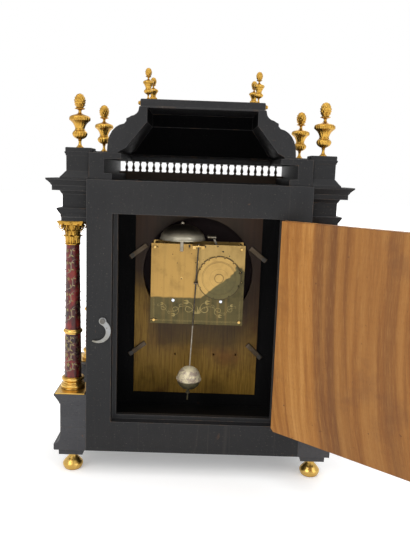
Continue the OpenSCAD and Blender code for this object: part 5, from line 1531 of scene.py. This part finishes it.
class CLOCK_OT_dial(bpy.types.Operator):
    """Hour numerals and minute marks of the chapter ring, and gilt ornament on the velvet"""
    bl_idname = "clock.dial"
    bl_label = "Dial"

    def execute(self, context):
        low, high = (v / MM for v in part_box("chapter_ring"))
        cz, front, outer = middle(low, high).z, low.y, (high.x - low.x) / 2
        foot, tall = outer - 12.6, 8.2
        wax = dark_wood("dial_wax", (0.008, 0.008, 0.009), (0.02, 0.019, 0.018), (200, 200, 200))
        strips = []
        for hour, word in enumerate(NUMERALS, 1):
            turn = TAU * hour / 12
            out, along = (math.sin(turn), math.cos(turn)), (math.cos(turn), -math.sin(turn))

            def at(s, t):
                r = foot + tall * t
                return r * out[0] + s * along[0], cz + r * out[1] + s * along[1]

            wide = sum(STROKES[letter][0] for letter in word)
            s = -wide / 2
            for letter in word:
                advance, marks = STROKES[letter]
                for (s0, t0), (s1, t1), w in marks:
                    a, b = at(s + advance / 2 + s0, t0), at(s + advance / 2 + s1, t1)
                    strips.append(line(*a, *b, w))
                s += advance
            for t in (0.0, 1.0):
                a, b = at(-wide / 2 - 0.2, t), at(wide / 2 + 0.2, t)
                strips.append(line(*a, *b, 0.4))
        for r in (foot - 1.6, outer - 2.6, outer - 0.8):
            ring = [(r * math.cos(TAU * i / 90), cz + r * math.sin(TAU * i / 90)) for i in range(91)]
            strips.append((ring, [0.22] * 91))
        relief("dial_numerals", strips, front, -1, 0.04, wax)
        mark = ribbon([(0, 0), (1.8, 0)], [0.3, 0.3], lambda u, v, h: Vector((u, v, h)) * MM, 0.04, 0.02)
        places = []
        face = Vector((0, -1, 0))
        for i in range(60):
            turn = TAU * i / 60
            out = Vector((math.cos(turn), 0, math.sin(turn)))
            m = Matrix((out, face.cross(out), face)).transposed().to_4x4()
            spot = Vector((0, front, cz)) * MM + out * (outer - 2.6) * MM
            places.append(Matrix.Translation(spot) @ m)
        put("minute_marks", repeated("minute_marks", mark, places, wax), wax, smooth=30)
        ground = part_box("dial_ground")[0].y / MM
        strips = []
        for up in (1, -1):
            z = cz + up * 66
            strips += scroll(77, z, 10, math.pi / 2 * up, up, 2.4)
            strips += scroll(62, z + up * 9, 6.5, math.pi * (up < 0), -up, 1.9, 1.2, 4)
            strips += scroll(84, z - up * 19, 6, -math.pi / 2 * up, up, 1.8, 1.2, 2)
        z = cz - 108
        strips += scroll(17, z, 12, math.pi / 2, -1, 2.8, 1.3, 4)
        strips += scroll(42, z - 9, 9.5, -math.pi / 2, 1, 2.4, 1.3, 4)
        strips += scroll(63, z - 1, 6.5, math.pi / 2, -1, 1.9, 1.2, 3)
        strips = mirrored(strips) + leaf_fan(0, z - 13, math.pi / 2, 21, 9, 2.6, 0.15)
        relief("dial_ornament", strips, ground, -1, 1.3, gilt())
        return {"FINISHED"}


class CLOCK_OT_marquetry(bpy.types.Operator):
    """Red shell panels with inlaid brass scrolls on the front door and the base"""
    bl_idname = "clock.marquetry"
    bl_label = "Marquetry"

    def execute(self, context):
        inlay = metal("inlaid_brass", (0.6, 0.43, 0.17), (0.14, 0.09, 0.04), 0.34, scale=120.0, spots=0.4)
        low, high = (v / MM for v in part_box("front_door"))
        glass_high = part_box("front_glass")[1] / MM
        arch, centre = glass_high.x + 5.2, glass_high.z - glass_high.x
        side, foot, head = high.x - 5, low.z + 5, high.z - 4.5
        face = low.y
        steps = 22
        last = math.asin((head - centre) / arch)
        turns = [last * (1 - i / steps) for i in range(steps + 1)]
        outline = [(arch, foot), (side, foot), (side, head)]
        outline += [(arch * math.cos(a), centre + arch * math.sin(a)) for a in turns]
        parts = [prism([(way * x, z) for x, z in outline], face - 0.2, face + 0.1) for way in (1, -1)]
        cast("door_shell", parts, red_shell(), "front_door")
        mid = (arch + side) / 2
        strips = []
        for i in range(4):
            z = foot + 14 + 27 * i
            pair = scroll(mid + 8, z + 7, 7.2, -math.pi / 2, 1, 1.5, 1.3, 3)
            strips += mirrored(pair, mid) + leaf_fan(mid, z - 4, math.pi / 2, 13, 5, 1.6, 0.15)
        strips += scroll(mid - 2, head - 27, 17, 0.0, 1, 2.2, 1.5, 5)
        strips += scroll(mid - 34, head - 15, 9, math.pi, -1, 1.6, 1.3, 4)
        strips += scroll(mid + 6, head - 62, 9, math.pi / 2, -1, 1.6, 1.3, 4)
        inset = 1.2
        border = [(arch + inset, foot + inset), (side - inset, foot + inset), (side - inset, head - inset)]
        strips.append((border, [0.5] * 3))
        relief("door_inlay", mirrored(strips), face - 0.2, -1, 0.1, inlay, "front_door")
        b_low, b_high = (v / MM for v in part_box("base_front"))
        floor, x1, z0, z1 = b_low.y + 3, b_high.x - 28.6, b_high.z - 40.4, b_high.z - 19.6
        panel = prism([(-x1, z0), (x1, z0), (x1, z1), (-x1, z1)], floor - 0.4, floor + 0.1)
        cast("base_shell", [panel], red_shell())
        z = (z0 + z1) / 2
        strips = []
        for i, x in enumerate((14, 38, 62, 86, 107)):
            up = 1 if i % 2 else -1
            strips += scroll(x, z - up * 0.8, 7.6, math.pi / 2 * up, up, 1.6, 1.3, 3)
        strips = mirrored(strips) + leaf_fan(0, z - 7, math.pi / 2, 14, 7, 2.2, 0.16)
        relief("base_inlay", strips, floor - 0.4, -1, 0.1, inlay)
        return {"FINISHED"}


class CLOCK_OT_bell(bpy.types.Operator):
    """Turned bell"""
    bl_idname = "clock.bell"
    bl_label = "Bell"

    def execute(self, context):
        low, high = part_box("bell")
        box = size_mm(low, high)
        r, h = box.x / 2, box.z
        lip, wall, hole = 1.4, 1.8, 1.95

        def dome(wide, tall, start, foot):
            turns = [math.radians(a) for a in range(start, 90, 4)]
            points = [(wide * math.cos(a), foot + tall * math.sin(a)) for a in turns]
            return [p for p in points if p[0] > hole]

        outer = [(r, 0), (r, lip)] + dome(r - 0.9, h - lip, 4, lip) + [(hole, h)]
        inner = dome(r - 0.9 - wall, h - wall, 2, 0) + [(hole, h - wall)]
        form = resized(spun(outer + inner[::-1], 96), MM)
        form = moved(form, foot_of(low, high))
        cast("turned_bell", [form], bell_bronze(), "case", ["bell"], 40)
        return {"FINISHED"}


# Stage, with the camera fitted to the photograph: place in mm, turns in degrees, focal length in pixels

CAMERA_AT = (-1.64, 886.5, 429.55)
PITCH, YAW, ROLL = 9.41, 0.59, 2.0
FOCAL_PIXELS, PHOTO_PIXELS = 599.8, 545
SENSOR = 36
LENS = SENSOR * FOCAL_PIXELS / PHOTO_PIXELS


class CLOCK_OT_stage(bpy.types.Operator):
    """Floor, light and camera"""
    bl_idname = "clock.stage"
    bl_label = "Stage"

    def execute(self, context):
        s = context.scene.clock_stage
        scene = context.scene
        scene.view_settings.view_transform = "Standard"
        self.world(scene, s)
        self.floor(s)
        self.lamps()
        self.camera(scene)
        return {"FINISHED"}

    def world(self, scene, s):
        world = bpy.data.worlds.new("studio")
        scene.world = world
        world.use_nodes = True
        t = world.node_tree
        back = next(n for n in t.nodes if n.type == "BACKGROUND")
        path = add(t, "ShaderNodeLightPath").outputs
        seen = larger(t, path["Is Camera Ray"], path["Is Transmission Ray"])
        up = axes(t, add(t, "ShaderNodeTexCoord").outputs["Generated"])["Z"]
        sky = span(t, up, -0.3, 0.6, 0.75, 1.0)
        light = times(t, sky, s.sky_light)
        gloss = mix(t, path["Is Glossy Ray"], (1, 1, 1), (0.9, 0.9, 0.9))
        plain = larger(t, seen, path["Is Glossy Ray"])
        strength = add(t, "ShaderNodeMix", {0: plain, 2: light, 3: 1.0}, data_type="FLOAT")
        t.links.new(gloss, back.inputs["Color"])
        t.links.new(strength.outputs[0], back.inputs["Strength"])

    def floor(self, s):
        half, under_feet = 9.0, -0.0001
        verts = [Vector((x * half, y * half, under_feet)) for y in (-1, 1) for x in (-1, 1)]
        mesh = mesh_from("floor", verts, [(0, 1, 3, 2)])
        obj = bpy.data.objects.new("floor", mesh)
        bpy.context.scene.collection.objects.link(obj)

        def build(t, p):
            path = add(t, "ShaderNodeLightPath").outputs
            mirrored_or_through = larger(t, path["Is Glossy Ray"], path["Is Transmission Ray"])
            seen = larger(t, path["Is Camera Ray"], mirrored_or_through)
            away = add(t, "ShaderNodeVectorMath", {0: p}, operation="LENGTH").outputs["Value"]
            near, far = s.floor_glow
            return {"Emission Color": times(t, span(t, away, 0.3, 0.85, near, far), seen)}

        mat = finish("pale_floor", build, Base_Color=(*s.floor_tone, 1), Roughness=0.9,
                     Specular_IOR_Level=0.1, Emission_Strength=1.0)
        mesh.materials.append(mat)

    def lamps(self):
        for name, at, aim, size, power, tone in (
                ("key", (1.3, 1.7, 1.9), (0, 0.1, 0.25), 1.4, 26.0, (1.0, 0.98, 0.95)),
                ("fill", (-1.6, 1.3, 1.2), (0, 0, 0.3), 1.6, 13.0, (0.96, 0.98, 1.0)),
                ("top", (0.0, 0.1, 2.3), (0, 0, 0.2), 1.8, 16.0, (1.0, 1.0, 1.0)),
                ("front", (-0.9, -1.9, 1.5), (0, 0, 0.3), 1.5, 16.0, (1.0, 0.99, 0.97))):
            data = bpy.data.lights.new(name, "AREA")
            data.shape, data.size, data.energy, data.color = "SQUARE", size, power, tone
            obj = bpy.data.objects.new(name, data)
            obj.location = at
            obj.rotation_euler = (Vector(aim) - Vector(at)).to_track_quat("-Z", "Y").to_euler()
            bpy.context.scene.collection.objects.link(obj)

    def camera(self, scene):
        yaw, pitch, roll = (math.radians(a) for a in (YAW, PITCH, ROLL))

        def world(a0, a1, a2):
            return Vector((-a0, -a2, a1))
        right = world(math.cos(yaw), 0, -math.sin(yaw))
        deep = world(math.sin(yaw), 0, math.cos(yaw))
        rise = Vector((0, 0, 1))
        up = rise * math.cos(pitch) + deep * math.sin(pitch)
        ahead = deep * math.cos(pitch) - rise * math.sin(pitch)
        turned_right = right * math.cos(roll) + up * math.sin(roll)
        turned_up = up * math.cos(roll) - right * math.sin(roll)
        data = bpy.data.cameras.new("camera")
        data.sensor_width, data.lens = SENSOR, LENS
        data.clip_start, data.clip_end = 0.02, 50
        cam = bpy.data.objects.new("camera", data)
        m = Matrix((turned_right, turned_up, -ahead)).transposed().to_4x4()
        m.translation = Vector(CAMERA_AT) * MM
        cam.matrix_world = m
        scene.collection.objects.link(cam)
        scene.camera = cam


class CLOCK_PT_panel(bpy.types.Panel):
    """Lists the clock's pieces and their sizes"""
    bl_idname = "CLOCK_PT_panel"
    bl_label = "Table clock"
    bl_space_type = "VIEW_3D"
    bl_region_type = "UI"
    bl_category = "Clock"

    def draw(self, context):
        for holder in (context.scene.clock_case, context.scene.clock_mounts, context.scene.clock_stage):
            for key in holder.__annotations__:
                self.layout.prop(holder, key)
        for op in OPERATORS:
            self.layout.operator(op.bl_idname)


OPERATORS = (CLOCK_OT_woodwork, CLOCK_OT_rear_door, CLOCK_OT_feet, CLOCK_OT_finials, CLOCK_OT_capitals,
             CLOCK_OT_columns, CLOCK_OT_movement, CLOCK_OT_engraving, CLOCK_OT_dial, CLOCK_OT_marquetry,
             CLOCK_OT_bell, CLOCK_OT_stage)
CLASSES = (ClockCase, ClockMounts, ClockStage) + OPERATORS + (CLOCK_PT_panel,)
HOLDERS = {"clock_case": ClockCase, "clock_mounts": ClockMounts, "clock_stage": ClockStage}


def register():
    for cls in CLASSES:
        bpy.utils.register_class(cls)
    for key, cls in HOLDERS.items():
        setattr(bpy.types.Scene, key, PointerProperty(type=cls))


def unregister():
    for key in HOLDERS:
        delattr(bpy.types.Scene, key)
    for cls in reversed(CLASSES):
        bpy.utils.unregister_class(cls)


def main():
    register()
    for op in OPERATORS:
        group_name, action = op.bl_idname.split(".")
        getattr(getattr(bpy.ops, group_name), action)()


if __name__ == "__main__":
    main()
